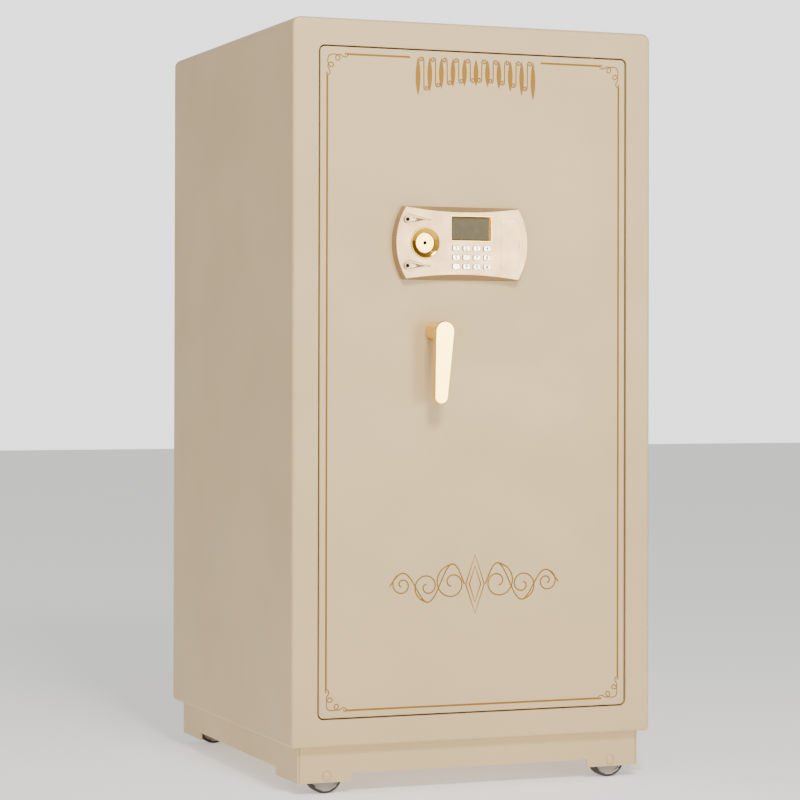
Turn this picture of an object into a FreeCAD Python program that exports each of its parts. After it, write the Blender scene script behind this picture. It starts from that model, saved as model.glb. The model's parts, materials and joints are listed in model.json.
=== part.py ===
"""Floor-standing cabinet safe with an electronic lock: every piece as its own solid, in millimetres.

Frame: +X to the right of someone facing the door, +Y from the door into the safe, +Z up.
The origin is on the floor, below the centre of the whole object's box.
A depth is a distance behind the front face of the cabinet, and is negative in front of it.
"""
import FreeCAD, Part
import math
import os
from FreeCAD import Vector

# ---------------------------------------------------------------- overall sizes
body_width = 542.0
body_depth = 570.0
body_height = 1000.0
handle_projection = 41.0      # lever face in front of the door
plinth_height = 50.0
plinth_lift = 16.0            # plinth's feet above the floor

# ---------------------------------------------------------------- cabinet
shell_thickness = 5.0
back_thickness = 5.0
filling_thickness = 13.0
liner_thickness = 1.5
top_edge_radius = 12.0
bottom_edge_radius = 5.0
frame_width = 37.5            # face of the door frame, on all four sides
frame_thickness = 8.0
frame_edge_radius = 4.0
return_thickness = 6.0        # inward lip that the bolts catch behind
return_depth = 27.0
lip_edge_radius = 0.8
anchor_spacing_x = 300.0
anchor_spacing_y = 300.0
anchor_hole_radius = 7.25
anchor_sleeve_wall = 3.75

# ---------------------------------------------------------------- shelves
shelf_thickness = 1.5
shelf_fold = 25.0
shelf_front_depth = 100.0
shelf_back_gap = 6.0
shelf_side_gap = 1.5
shelf_heights = (320.0, 640.0)     # shelf tops above the inner floor
standard_width = 20.0
standard_thickness = 2.0
standard_end_gap = 15.0
standard_inset = 42.0              # strip centres inside the shelf's front and back edges
slot_pitch = 25.0
slot_size = (8.0, 4.0)
clip_size = (12.0, 14.0, 8.0)

# ---------------------------------------------------------------- plinth and wheels
plinth_inset = 13.0
plinth_thickness = 2.5
plinth_joint_gap = 0.7
notch_height = 11.0
front_foot_length = 79.0
side_foot_length = 92.0
notch_relief_radius = 7.0
notch_relief_rise = 2.0
wheel_radius = 25.0
wheel_width = 20.0
wheel_side_gap = 2.5
wheel_inset = 42.8                 # axle centre from the plinth's side face
hub_radius = 21.4
rim_width = 3.0
rim_height = 1.4
axle_radius = 5.0
axle_clearance = 0.1
axle_head_radius = 7.4
axle_head_height = 4.4
bracket_thickness = 4.0
bracket_width = 34.0
nut_radius = 8.5
nut_height = 7.0

# ---------------------------------------------------------------- door
door_gap = 2.0
hinge_gap = 3.0
door_thickness = 8.0
door_corner_radius = 7.0
door_edge_radius = 1.2
pan_inset = 6.0
pan_hinge_inset = 8.0
pan_depth = 60.0
pan_wall = 2.0
pan_flange = 12.0
cover_thickness = 1.5
cover_screw_radius = 3.5
cover_screw_height = 2.2
cover_screws_across = 3
cover_screws_up = 5
pivot_from_edge = 46.0             # hinge axis inside the door's hinge edge
pivot_depth = 16.0
hinge_pin_radius = 5.0
hinge_pin_reach = 18.0
hinge_clearance = 0.06
bush_wall = 2.5
hinge_block_size = (28.0, 20.0, 32.0)
bush_seat_gap = 0.3
bush_end_room = 4.0                # bush beyond the end of its pin

# ---------------------------------------------------------------- boltwork
bolt_radius = 11.0
bolt_depth = 41.0
bolt_length = 60.0
bolt_height_shares = (-0.375, -0.125, 0.125, 0.375)   # of the door's height, from its centre
bolt_rest_proud = 1.5
bolt_tip_chamfer = 2.5
bolt_clearance = 0.25
dead_bolt_height_shares = (-0.325, 0.0, 0.325)
dead_bolt_proud = 22.0
dead_bolt_root = 20.0
carrier_thickness = 8.0
carrier_overhang = 18.0
carrier_side_step = 2.0            # carrier narrower than its bolts, on each side
rod_bolt_radius = 9.0
rod_bolt_length = 45.0
rod_width = 12.0
gear_module = 1.5
gear_teeth = 18
gear_backlash = 0.15
pressure_angle = math.radians(20.0)
pinion_depths = (36.0, 50.0)
carrier_rack_depths = (37.0, 42.0)
rod_depths = (44.0, 49.0)
handle_turn = math.radians(90.0)
guide_thickness = 4.0
guide_offset = 19.5                # guide plate behind the pan's lock-side wall
guide_block_length = 12.0
guide_setback = 180.0              # rod guides from the pan's ends and from the handle
upper_guide_rise = 90.0            # lower guide of the upper rod above the panel's centre
rack_margin = 4.0                  # plain bar beyond the last tooth
tab_length = 12.0
tab_height = 8.0
tab_clearance = 2.0                # from a tab to the end of its locking piece
tab_gap = 4.8                      # from a locking piece's centre line to the nearer tab

# ---------------------------------------------------------------- handle
handle_x = -62.7
handle_height_share = 0.57         # of the cabinet's height, above its bottom
lever_thickness = 8.5
lever_head_radius = 14.4
lever_end_radius = 10.4
lever_length = 90.0                # between the centres of its two round ends
lever_end_offset = -5.3
lever_bevel = 1.4
hub_base_radius = 13.6
hub_neck_radius = 12.2
hub_door_gap = 0.6
spindle_radius = 8.0
spindle_clearance = 0.08
spindle_collar_radius = 12.0
spindle_collar_length = 4.0
spindle_end = 3.0                  # spindle beyond the pinion

# ---------------------------------------------------------------- lock panel
panel_x = -25.5
panel_height_share = 0.6927        # of the cabinet's height, from its bottom to the panel's centre
panel_half_width = 100.9
panel_corner_half_width = 85.5
panel_half_height = 51.1
panel_foot = 2.0
panel_thickness = 13.0
face_inset = 1.6
face_waist = 6.8                   # how far the long edges of the face curve in
foot_waist = 0.001                 # the same for the foot, whose long edges are all but straight
panel_skin = 2.6
panel_edge_radius = 0.9
display_offset = (12.9, 20.8)
display_size = (63.0, 36.4)
display_flange = 0.6
display_window = (56.0, 30.0)
display_glass_depth = 3.6
display_glass_thickness = 1.2
bezel_lip = 1.1
key_first = (-10.5, -6.7)          # top left key from the panel's centre
key_pitch = (15.6, 12.7)
key_columns = 4
key_rows = 3
key_size = (11.0, 7.9)
key_corner = 3.3
key_proud = 1.9
key_gap = 0.35
key_travel = 1.2
key_flange = 1.0
key_stop_gap = 0.2                 # from the fascia's back to the key's stop
key_stem_radius = 1.8
key_board_gap = 1.5                # from the end of a pressed key's stem to the board
board_thickness = 1.6
board_depth = 3.6                  # front face of the board in front of the door
cover_left = 58.1
cover_right_corner = 81.3
cover_right_bulge = 9.2
cover_half_height = 36.2
cover_plate = 2.0
cover_proud = 0.3
cover_gap = 0.3
cover_notch_radius = 4.6
cell_radius = 5.25
cell_length = 44.5
tray_wall = 1.2
tray_x = 72.0
tray_front_depth = -9.0
panel_screw_x = -82.2
panel_screw_height = 32.0
teardrop_radius = 8.2
teardrop_length = 34.0
teardrop_depth = 3.0
screw_radius = 1.6
screw_head_radius = 2.9
screw_head_height = 1.4
screw_cross_depth = 0.6
screw_cross_width = 0.6
screw_recess_radius = 3.04

# ---------------------------------------------------------------- key lock
lock_x = -56.0                     # from the panel's centre
lock_ring_radius = 21.7
lock_ring_body_radius = 20.4
lock_ring_proud = 1.6
lock_ring_bore = 14.4
lock_ring_depth = 8.0              # back of the ring behind the panel's face
lock_ring_rim = 1.2                # flat front of the ring
lock_ring_chamfer = 0.6
lock_disc_radius = 13.8
lock_disc_sink = 1.5               # disc face behind the panel's face
lock_disc_thickness = 4.5
lock_disc_chamfer = 0.8
lock_shaft_radius = 9.0
keyhole_radius = 2.8
keyhole_length = 12.0
housing_depth = 30.0
cable_hole_radius = 5.25
housing_flange = 20.0
plug_end_gap = 0.2                 # from the housing to the plug's tail
crank_pin_end = 0.6                # crank pin beyond the slide
tail_radius = 12.0
tail_depth = 36.0
deadlock_travel = 10.0
crank_pin_radius = 2.0
crank_slot_clearance = 0.4
slide_depths = (37.0, 42.0)
slide_half_height = 3.6
slide_skirt = 5.4                  # slide below its nose
slide_margin = 3.0                 # slide above its slot
slide_nose_length = 14.0

# ---------------------------------------------------------------- solenoid
solenoid_drop = 90.0               # below the handle's axis
solenoid_size = (34.0, 18.0, 22.0)
plunger_radius = 3.0
plunger_clearance = 0.15
plunger_travel = 10.0
plunger_proud = 4.0                # nose in front of the case
plunger_tail = 6.0                 # tail behind the case
solenoid_foot = 3.0

# ---------------------------------------------------------------- worked-out places
overall_depth = body_depth + handle_projection
front_y = handle_projection - overall_depth / 2
body_bottom = plinth_lift + plinth_height
body_top = body_bottom + body_height
side_x = body_width / 2
wall_thickness = shell_thickness + filling_thickness + liner_thickness
opening_left = -side_x + frame_width
opening_right = side_x - frame_width
opening_bottom = body_bottom + frame_width
opening_top = body_top - frame_width
door_left = opening_left + door_gap
door_right = opening_right - hinge_gap
door_bottom = opening_bottom + door_gap
door_top = opening_top - door_gap
door_middle = (door_bottom + door_top) / 2
pan_left = door_left + pan_inset
pan_right = door_right - pan_hinge_inset
pan_bottom = door_bottom + pan_inset
pan_top = door_top - pan_inset
pivot_x = door_right - pivot_from_edge
handle_z = body_bottom + body_height * handle_height_share
panel_z = body_bottom + body_height * panel_height_share
inner_floor = body_bottom + wall_thickness
inner_side = side_x - wall_thickness
inner_back_depth = body_depth - back_thickness - filling_thickness - liner_thickness
pitch_radius = gear_module * gear_teeth / 2
bolt_throw = pitch_radius * handle_turn
bush_reach = hinge_pin_reach + bush_end_room
rack_fall = 1.25 * gear_module      # pitch line to the root of a tooth
crank_radius = deadlock_travel / 2 / math.sin(math.radians(45))


# ---------------------------------------------------------------- shape helpers
def at(depth):
    """Y of a plane at this depth behind the cabinet's front face."""
    return front_y + depth


def block(x0, x1, depth0, depth1, z0, z1):
    return Part.makeBox(x1 - x0, depth1 - depth0, z1 - z0, Vector(x0, at(depth0), z0))


def bar_x(x0, x1, depth, z, radius):
    return Part.makeCylinder(radius, x1 - x0, Vector(x0, at(depth), z), Vector(1, 0, 0))


def bar_y(x, z, radius, depth0, depth1):
    return Part.makeCylinder(radius, depth1 - depth0, Vector(x, at(depth0), z), Vector(0, 1, 0))


def bar_z(x, depth, radius, z0, z1):
    return Part.makeCylinder(radius, z1 - z0, Vector(x, at(depth), z0), Vector(0, 0, 1))


def fuse(*shapes):
    return shapes[0].fuse(list(shapes[1:])).removeSplitter()


def cut(shape, *tools):
    return shape.cut(list(tools))


def extrude_xz(wire, depth0, depth1):
    """Solid between two depths, from a closed wire drawn in the plane of depth0."""
    return Part.Face(wire).extrude(Vector(0, depth1 - depth0, 0))


def polygon_xz(points, depth):
    corners = [Vector(x, at(depth), z) for x, z in points]
    return Part.makePolygon(corners + [corners[0]])


def rounded_wire(x0, x1, z0, z1, low_radius, high_radius, depth):
    """Closed rectangle in a plane of constant depth, with its own radius at the bottom and top corners."""
    y = at(depth)
    edges = []
    corners = [
        (x1, z0, low_radius, (-1, 0), (0, 1)),
        (x1, z1, high_radius, (0, -1), (-1, 0)),
        (x0, z1, high_radius, (1, 0), (0, -1)),
        (x0, z0, low_radius, (0, 1), (1, 0)),
    ]
    ends = []
    for x, z, radius, before, after in corners:
        start = Vector(x + before[0] * radius, y, z + before[1] * radius)
        stop = Vector(x + after[0] * radius, y, z + after[1] * radius)
        pull = radius * (1 - math.sqrt(0.5))
        middle = Vector(x + (before[0] + after[0]) * pull, y, z + (before[1] + after[1]) * pull)
        ends.append((start, middle, stop))
    for i, (start, middle, stop) in enumerate(ends):
        edges.append(Part.Arc(start, middle, stop).toShape())
        edges.append(Part.LineSegment(stop, ends[(i + 1) % 4][0]).toShape())
    return Part.Wire(edges)


def rounded_slab(x0, x1, z0, z1, low_radius, high_radius, depth0, depth1):
    return extrude_xz(rounded_wire(x0, x1, z0, z1, low_radius, high_radius, depth0), depth0, depth1)


def edges_in_plane(shape, depth, keep):
    """Edges lying wholly at one depth whose middle point passes the test."""
    found = []
    for edge in shape.Edges:
        box = edge.BoundBox
        flat = abs(box.YMin - at(depth)) < 1e-4 and abs(box.YMax - at(depth)) < 1e-4
        if flat and keep(edge.valueAt((edge.FirstParameter + edge.LastParameter) / 2)):
            found.append(edge)
    return found


def turned(profile, x, z):
    """Solid turned about a line along Y through (x, z), from (radius, depth) points."""
    points = [Vector(x + radius, at(depth), z) for radius, depth in profile]
    face = Part.Face(Part.makePolygon(points + [points[0]]))
    return face.revolve(Vector(x, 0, z), Vector(0, 1, 0), 360)


def dome(x, z, radius, base_depth, tip_depth):
    """Domed head standing on a plane of constant depth."""
    height = tip_depth - base_depth
    ball = (radius**2 + height**2) / (2 * abs(height))
    half_angle = math.asin(min(radius / ball, 1.0)) / 2
    centre = Vector(x, at(tip_depth - math.copysign(ball, height)), z)
    base = Vector(x, at(base_depth), z)
    rim = Vector(x + radius, at(base_depth), z)
    side = Vector(math.sin(half_angle), math.copysign(math.cos(half_angle), height), 0)
    tip = Vector(x, at(tip_depth), z)
    edges = [
        Part.LineSegment(base, rim).toShape(),
        Part.Arc(rim, centre + side * ball, tip).toShape(),
        Part.LineSegment(tip, base).toShape(),
    ]
    return Part.Face(Part.Wire(edges)).revolve(base, Vector(0, 1, 0), 360)


def outside_opening(point):
    inside_x = opening_left - 1 < point.x < opening_right + 1
    inside_z = opening_bottom - 1 < point.z < opening_top + 1
    return not (inside_x and inside_z)


# ---------------------------------------------------------------- cabinet
def body_slab(inset, depth0, depth1):
    """Slab with the cabinet's outline, set in by a wall thickness."""
    low = max(bottom_edge_radius - inset, 0.5)
    high = max(top_edge_radius - inset, 0.5)
    return rounded_slab(
        -side_x + inset, side_x - inset, body_bottom + inset, body_top - inset, low, high, depth0, depth1
    )


def opening_slab(margin, radius, depth0, depth1):
    """Slab with the doorway's outline, grown by a margin."""
    return rounded_slab(
        opening_left - margin,
        opening_right + margin,
        opening_bottom - margin,
        opening_top + margin,
        radius,
        radius,
        depth0,
        depth1,
    )


def opening_block(margin, depth0, depth1):
    """Square-cornered block with the doorway's size, grown by a margin."""
    return block(
        opening_left - margin, opening_right + margin, depth0, depth1, opening_bottom - margin, opening_top + margin
    )


def ring_strips(x0, x1, z0, z1, width, depth0, depth1):
    """Four straight strips round the outside of a rectangle."""
    return [
        block(x0 - width, x0, depth0, depth1, z0 - width, z1 + width),
        block(x1, x1 + width, depth0, depth1, z0 - width, z1 + width),
        block(x0, x1, depth0, depth1, z0 - width, z0),
        block(x0, x1, depth0, depth1, z1, z1 + width),
    ]


def lip_strips():
    """Inward lip of the frame, welded from four strips."""
    return ring_strips(
        opening_left, opening_right, opening_bottom, opening_top, return_thickness, frame_thickness, return_depth
    )


def face_pieces(face, corner):
    """The frame's face, welded from four straight strips and four corner pieces."""
    across = (-side_x, opening_left + corner, opening_right - corner, side_x)
    up = (body_bottom, opening_bottom + corner, opening_top - corner, body_top)
    pieces = []
    for i in range(3):
        for j in range(3):
            if i != 1 or j != 1:
                cell = block(across[i], across[i + 1], 0, frame_thickness, up[j], up[j + 1])
                pieces.append(face.common(cell))
    return pieces


def liner_block(inset, depth0, depth1):
    return block(-side_x + inset, side_x - inset, depth0, depth1, body_bottom + inset, body_top - inset)


def liner_plates(inset, front, back):
    """Floor, roof, sides and back of the liner, and the four strips of its front flange."""
    t = liner_thickness
    x, low, high = side_x - inset, body_bottom + inset, body_top - inset
    mouth_x0, mouth_x1 = opening_left - return_thickness, opening_right + return_thickness
    mouth_z0, mouth_z1 = opening_bottom - return_thickness, opening_top + return_thickness
    return [
        block(-x, x, front + t, back - t, low, low + t),
        block(-x, x, front + t, back - t, high - t, high),
        block(-x, -x + t, front + t, back - t, low + t, high - t),
        block(x - t, x, front + t, back - t, low + t, high - t),
        block(-x, x, back - t, back, low, high),
        block(-x, mouth_x0, front, front + t, low, high),
        block(mouth_x1, x, front, front + t, low, high),
        block(mouth_x0, mouth_x1, front, front + t, low, mouth_z0),
        block(mouth_x0, mouth_x1, front, front + t, mouth_z1, high),
    ]


def anchor_places():
    middle = body_depth / 2
    for sx in (-1, 1):
        for sy in (-1, 1):
            yield sx * anchor_spacing_x / 2, middle + sy * anchor_spacing_y / 2


def anchor_columns(radius):
    return [bar_z(x, depth, radius, body_bottom, inner_floor) for x, depth in anchor_places()]


def hinge_bush(end):
    """Bush for one hinge pin: end is 1 for the top of the doorway and -1 for the bottom."""
    bore = hinge_pin_radius + hinge_clearance
    wall = bore + bush_wall
    edge = opening_top if end > 0 else opening_bottom
    face = edge if end > 0 else door_bottom + pan_inset - bush_seat_gap
    far = edge + end * bush_reach
    low, high = min(face, far), max(face, far)
    return cut(bar_z(pivot_x, pivot_depth, wall, low, high), bar_z(pivot_x, pivot_depth, bore, low, high))


def bush_columns():
    """Room for both bushes in the frame and the filling."""
    wall = hinge_pin_radius + hinge_clearance + bush_wall
    return [
        bar_z(pivot_x, pivot_depth, wall, opening_top - 1, opening_top + bush_reach),
        bar_z(pivot_x, pivot_depth, wall, opening_bottom - bush_reach, opening_bottom + 1),
    ]


def cabinet_shell():
    parts = {}
    outer = body_slab(0, frame_thickness, body_depth)
    inner = body_slab(shell_thickness, frame_thickness, body_depth)
    wrap = cut(outer, inner)
    parts["outer_wrap"] = cut(wrap, *anchor_columns(anchor_hole_radius + anchor_sleeve_wall))
    parts["back_plate"] = body_slab(shell_thickness, body_depth - back_thickness, body_depth)

    corner = door_corner_radius + door_gap
    face = cut(body_slab(0, 0, frame_thickness), opening_slab(0, corner, 0, frame_thickness))
    face = face.makeFillet(frame_edge_radius, edges_in_plane(face, 0, outside_opening))
    face = face.makeFillet(lip_edge_radius, edges_in_plane(face, 0, lambda point: not outside_opening(point)))
    parts["door_frame"] = face_pieces(face, corner) + [cut(strip, *bush_columns()) for strip in lip_strips()]

    liner_inset = shell_thickness + filling_thickness
    liner_front = return_depth - liner_thickness
    liner_back = body_depth - back_thickness - filling_thickness
    sleeve_columns = anchor_columns(anchor_hole_radius + anchor_sleeve_wall)
    parts["wall_filling"] = cut(
        body_slab(shell_thickness, frame_thickness, body_depth - back_thickness),
        opening_block(return_thickness, frame_thickness, return_depth),
        liner_block(liner_inset, liner_front, liner_back),
        *bush_columns(),
        *sleeve_columns,
    )
    plates = liner_plates(liner_inset, liner_front, liner_back)
    parts["inner_liner"] = [cut(plates[0], *sleeve_columns)] + plates[1:]

    sleeves = anchor_columns(anchor_hole_radius + anchor_sleeve_wall)
    holes = anchor_columns(anchor_hole_radius)
    parts["anchor_sleeves"] = [cut(sleeve, hole) for sleeve, hole in zip(sleeves, holes)]
    parts["hinge_bushes"] = [hinge_bush(1), hinge_bush(-1)]
    return parts


def shelving():
    parts = {}
    half = inner_side - standard_thickness - shelf_side_gap
    back_depth = inner_back_depth - shelf_back_gap
    fold = shelf_thickness
    tops = [inner_floor + height for height in shelf_heights]
    parts["shelves"] = [
        fuse(
            block(-half, half, shelf_front_depth, back_depth, top - shelf_thickness, top),
            block(-half, half, shelf_front_depth, shelf_front_depth + fold, top - shelf_fold, top),
            block(-half, half, back_depth - fold, back_depth, top - shelf_fold, top),
        )
        for top in tops
    ]
    low = inner_floor + standard_end_gap
    high = body_top - wall_thickness - standard_end_gap
    strip_depths = (shelf_front_depth + standard_inset, back_depth - standard_inset)
    slot_count = int((high - low - slot_pitch) // slot_pitch)
    strips = []
    clips = []
    for side in (-1, 1):
        for depth in strip_depths:
            x0, x1 = sorted((side * inner_side, side * (inner_side - standard_thickness)))
            strip = block(x0, x1, depth - standard_width / 2, depth + standard_width / 2, low, high)
            slots = []
            for i in range(slot_count):
                z = low + slot_pitch * (i + 1)
                slots.append(
                    block(
                        x0 - 1, x1 + 1, depth - slot_size[0] / 2, depth + slot_size[0] / 2,
                        z - slot_size[1] / 2, z + slot_size[1] / 2,
                    )
                )
            strips.append(cut(strip, *slots))
            inner = side * (inner_side - standard_thickness - clip_size[0])
            c0, c1 = sorted((inner, side * (inner_side - standard_thickness)))
            for top in tops:
                under = top - shelf_thickness
                clips.append(
                    block(c0, c1, depth - clip_size[1] / 2, depth + clip_size[1] / 2, under - clip_size[2], under)
                )
    parts["shelf_standards"] = strips
    parts["shelf_clips"] = clips
    return parts


# ---------------------------------------------------------------- plinth and wheels
def plinth_profile_cut(start, stop, along_x, depth0, depth1, relief):
    """Space under a plinth plate between its two feet, with round reliefs in the upper corners."""
    top = plinth_lift + notch_height
    if along_x:
        tool = block(start, stop, depth0, depth1, plinth_lift - 1, top)
        if not relief:
            return tool
        centre_z = top + notch_relief_rise - notch_relief_radius
        rounds = [
            bar_y(x, centre_z, notch_relief_radius, depth0, depth1)
            for x in (start + notch_relief_radius, stop - notch_relief_radius)
        ]
        return fuse(tool, *rounds)
    return Part.makeBox(
        2 * body_width, stop - start, notch_height + 1, Vector(-body_width, at(start), plinth_lift - 1)
    )


def wheel_places():
    """Name, X and side of each wheel: side is -1 at the front and 1 at the back."""
    x = side_x - plinth_inset - wheel_inset
    for side, where in ((-1, "front"), (1, "rear")):
        yield f"{where}_left", -x, side
        yield f"{where}_right", x, side


def plate_depths(side):
    """Outer and inner depth of the front (side -1) or back (side 1) plinth plate."""
    if side < 0:
        return plinth_inset, plinth_inset + plinth_thickness
    return body_depth - plinth_inset, body_depth - plinth_inset - plinth_thickness


def spread(a, b):
    return (a, b) if a < b else (b, a)


def plinth():
    parts = {}
    half = side_x - plinth_inset
    inner = half - plinth_thickness
    ends = []
    for side in (-1, 1):
        depth0, depth1 = spread(*plate_depths(side))
        edge = inner - plinth_joint_gap
        plate = block(-edge, edge, depth0, depth1, plinth_lift, body_bottom)
        foot = half - front_foot_length
        plate = cut(plate, plinth_profile_cut(-foot, foot, True, depth0 - 1, depth1 + 1, True))
        holes = [
            bar_y(x, wheel_radius, axle_radius, depth0 - 1, depth1 + 1)
            for _, x, where in wheel_places()
            if where == side
        ]
        ends.append(cut(plate, *holes))
    parts["plinth_ends"] = ends
    front = plinth_inset
    back = body_depth - plinth_inset
    sides = []
    for sign in (-1, 1):
        x0, x1 = spread(sign * half, sign * inner)
        plate = block(x0, x1, front, back, plinth_lift, body_bottom)
        tool = plinth_profile_cut(front + side_foot_length, back - side_foot_length, False, 0, 0, False)
        sides.append(cut(plate, tool))
    parts["plinth_sides"] = sides
    return parts


def wheel(x, side):
    """Wheel on its axle: a hub with a raised rim on both faces, and a tyre with rounded shoulders."""
    plate_inner = plate_depths(side)[1]
    near = plate_inner - side * wheel_side_gap
    far = near - side * wheel_width
    low, high = spread(near, far)
    bore = axle_radius + axle_clearance
    rim = hub_radius - rim_width
    hub = turned(
        [
            (bore, low + rim_height), (rim, low + rim_height), (rim + rim_height / 2, low),
            (hub_radius, low), (hub_radius, high), (rim + rim_height / 2, high),
            (rim, high - rim_height), (bore, high - rim_height),
        ],
        x, wheel_radius,
    )
    shoulder = (wheel_radius - hub_radius) * 0.55
    tyre = turned(
        [
            (hub_radius, low), (wheel_radius - shoulder, low), (wheel_radius - shoulder * 0.3, low + shoulder * 0.3),
            (wheel_radius, low + shoulder), (wheel_radius, high - shoulder),
            (wheel_radius - shoulder * 0.3, high - shoulder * 0.3), (wheel_radius - shoulder, high),
            (hub_radius, high),
        ],
        x, wheel_radius,
    )
    return [hub, tyre]


def running_gear():
    parts = {}
    bolts, nuts, brackets = [], [], []
    for name, x, side in wheel_places():
        parts[f"wheel_{name}"] = wheel(x, side)
        outer, plate_inner = plate_depths(side)
        inward = -side
        bracket_near = plate_inner + inward * (2 * wheel_side_gap + wheel_width)
        bracket_far = bracket_near + inward * bracket_thickness
        nut_far = bracket_far + inward * nut_height
        shank0, shank1 = spread(outer, nut_far + inward * 2)
        shank = bar_y(x, wheel_radius, axle_radius, shank0, shank1)
        bolts.append(fuse(shank, dome(x, wheel_radius, axle_head_radius, outer, outer - inward * axle_head_height)))
        depth0, depth1 = spread(bracket_near, bracket_far)
        half = bracket_width / 2
        plate = block(x - half, x + half, depth0, depth1, plinth_lift, body_bottom)
        shelf0, shelf1 = spread(bracket_far, bracket_far + inward * half)
        flange = block(x - half, x + half, shelf0, shelf1, body_bottom - bracket_thickness, body_bottom)
        hole = bar_y(x, wheel_radius, axle_radius, depth0 - 1, depth1 + 1)
        brackets.append(cut(fuse(plate, flange), hole))
        n0, n1 = spread(bracket_far, nut_far)
        turns = [math.radians(60 * i) for i in range(6)]
        corners = [(x + nut_radius * math.cos(a), wheel_radius + nut_radius * math.sin(a)) for a in turns]
        hexagon = extrude_xz(polygon_xz(corners, n0), n0, n1)
        nuts.append(cut(hexagon, bar_y(x, wheel_radius, axle_radius, n0 - 1, n1 + 1)))
    parts["axle_bolts"] = bolts
    parts["axle_nuts"] = nuts
    parts["wheel_brackets"] = brackets
    return parts


# ---------------------------------------------------------------- door
def upper_rod_x():
    return handle_x - pitch_radius - rack_fall - rod_width / 2


def lower_rod_x():
    return handle_x + pitch_radius + rack_fall + rod_width / 2


def bolt_heights(shares):
    return [door_middle + share * (door_top - door_bottom) for share in shares]


def live_bolt_heights():
    return bolt_heights(bolt_height_shares)


def door_shell():
    parts = {}
    plate = rounded_slab(
        door_left, door_right, door_bottom, door_top, door_corner_radius, door_corner_radius, 0, door_thickness
    )
    plate = plate.makeFillet(door_edge_radius, edges_in_plane(plate, 0, lambda point: True))
    lock_centre = panel_x + lock_x
    tray_half = cell_radius * 2 + tray_wall
    holes = [
        bar_y(handle_x, handle_z, spindle_radius + spindle_clearance, -1, door_thickness + 1),
        bar_y(lock_centre, panel_z, lock_ring_bore, -1, door_thickness + 1),
        block(
            panel_x + tray_x - tray_half, panel_x + tray_x + tray_half, -1, door_thickness + 1,
            panel_z - cell_length / 2 - 2 * tray_wall, panel_z + cell_length / 2 + 2 * tray_wall,
        ),
        bar_y(panel_x + display_offset[0], panel_z, cable_hole_radius, -1, door_thickness + 1),
    ]
    parts["door_plate"] = cut(plate, *holes)

    walls = ring_strips(
        pan_left + pan_wall, pan_right - pan_wall, pan_bottom + pan_wall, pan_top - pan_wall,
        pan_wall, door_thickness, pan_depth - pan_wall,
    )
    flange = ring_strips(
        pan_left + pan_flange, pan_right - pan_flange, pan_bottom + pan_flange, pan_top - pan_flange,
        pan_flange, pan_depth - pan_wall, pan_depth,
    )
    wall_holes = [
        bar_x(pan_left - 1, pan_left + pan_wall + 1, bolt_depth, z, bolt_radius + bolt_clearance)
        for z in live_bolt_heights()
    ]
    wall_holes += [
        bar_x(pan_right - pan_wall - 1, pan_right + 1, bolt_depth, z, bolt_radius)
        for z in bolt_heights(dead_bolt_height_shares)
    ]
    rod_hole = rod_bolt_radius + bolt_clearance
    rod_depth = sum(rod_depths) / 2
    wall_holes.append(bar_z(upper_rod_x(), rod_depth, rod_hole, pan_top - pan_wall - 1, pan_top + 1))
    wall_holes.append(bar_z(lower_rod_x(), rod_depth, rod_hole, pan_bottom - 1, pan_bottom + pan_wall + 1))
    for z0, z1 in ((pan_top - pan_wall - 1, pan_top + 1), (pan_bottom - 1, pan_bottom + pan_wall + 1)):
        wall_holes.append(bar_z(pivot_x, pivot_depth, hinge_pin_radius, z0, z1))
    parts["door_pan"] = [cut(wall, *wall_holes) for wall in walls] + flange
    parts["door_back_cover"] = block(
        pan_left, pan_right, pan_depth, pan_depth + cover_thickness, pan_bottom, pan_top
    )
    screws = []
    inset = pan_flange / 2
    width = pan_right - pan_left - 2 * inset
    height = pan_top - pan_bottom - 2 * inset
    for i in range(cover_screws_across):
        for j in range(cover_screws_up):
            if 0 < i < cover_screws_across - 1 and 0 < j < cover_screws_up - 1:
                continue
            x = pan_left + inset + width * i / (cover_screws_across - 1)
            z = pan_bottom + inset + height * j / (cover_screws_up - 1)
            face = pan_depth + cover_thickness
            head = bar_y(x, z, cover_screw_radius, face, face + cover_screw_height)
            rim = edges_in_plane(head, face + cover_screw_height, lambda point: True)
            head = head.makeFillet(cover_screw_height * 0.6, rim)
            slot = block(
                x - cover_screw_radius, x + cover_screw_radius, face + cover_screw_height * 0.5,
                face + cover_screw_height + 1, z - 0.5, z + 0.5,
            )
            screws.append(cut(head, slot))
    parts["cover_screws"] = screws
    return parts


def hinge_and_dead_bolts():
    parts = {}
    blocks = []
    pins = []
    half_x = hinge_block_size[0] / 2
    for end in (1, -1):
        wall = pan_top - pan_wall if end > 0 else pan_bottom + pan_wall
        z0, z1 = spread(wall, wall - end * hinge_block_size[2])
        body = block(
            pivot_x - half_x, pivot_x + half_x, door_thickness, door_thickness + hinge_block_size[1], z0, z1
        )
        edge = opening_top if end > 0 else opening_bottom
        p0, p1 = spread(wall - end * hinge_block_size[2], edge + end * hinge_pin_reach)
        pin = bar_z(pivot_x, pivot_depth, hinge_pin_radius, p0, p1)
        blocks.append(cut(body, pin))
        pins.append(pin)
    parts["hinge_blocks"] = blocks
    parts["hinge_pins"] = pins
    bolts = []
    for z in bolt_heights(dead_bolt_height_shares):
        tip = pan_right + dead_bolt_proud
        root = pan_right - dead_bolt_root
        bolt = bar_x(root, tip, bolt_depth, z, bolt_radius)
        end_edge = [edge for edge in bolt.Edges if abs(edge.BoundBox.XMin - tip) < 1e-4]
        bolts.append(bolt.makeChamfer(bolt_tip_chamfer, end_edge))
    parts["dead_bolts"] = bolts
    return parts


# ---------------------------------------------------------------- boltwork
def involute(base, radius):
    """Polar angle of the involute of a base circle at a radius."""
    roll = math.sqrt(max((radius / base) ** 2 - 1, 0))
    return roll - math.atan(roll)


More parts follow.
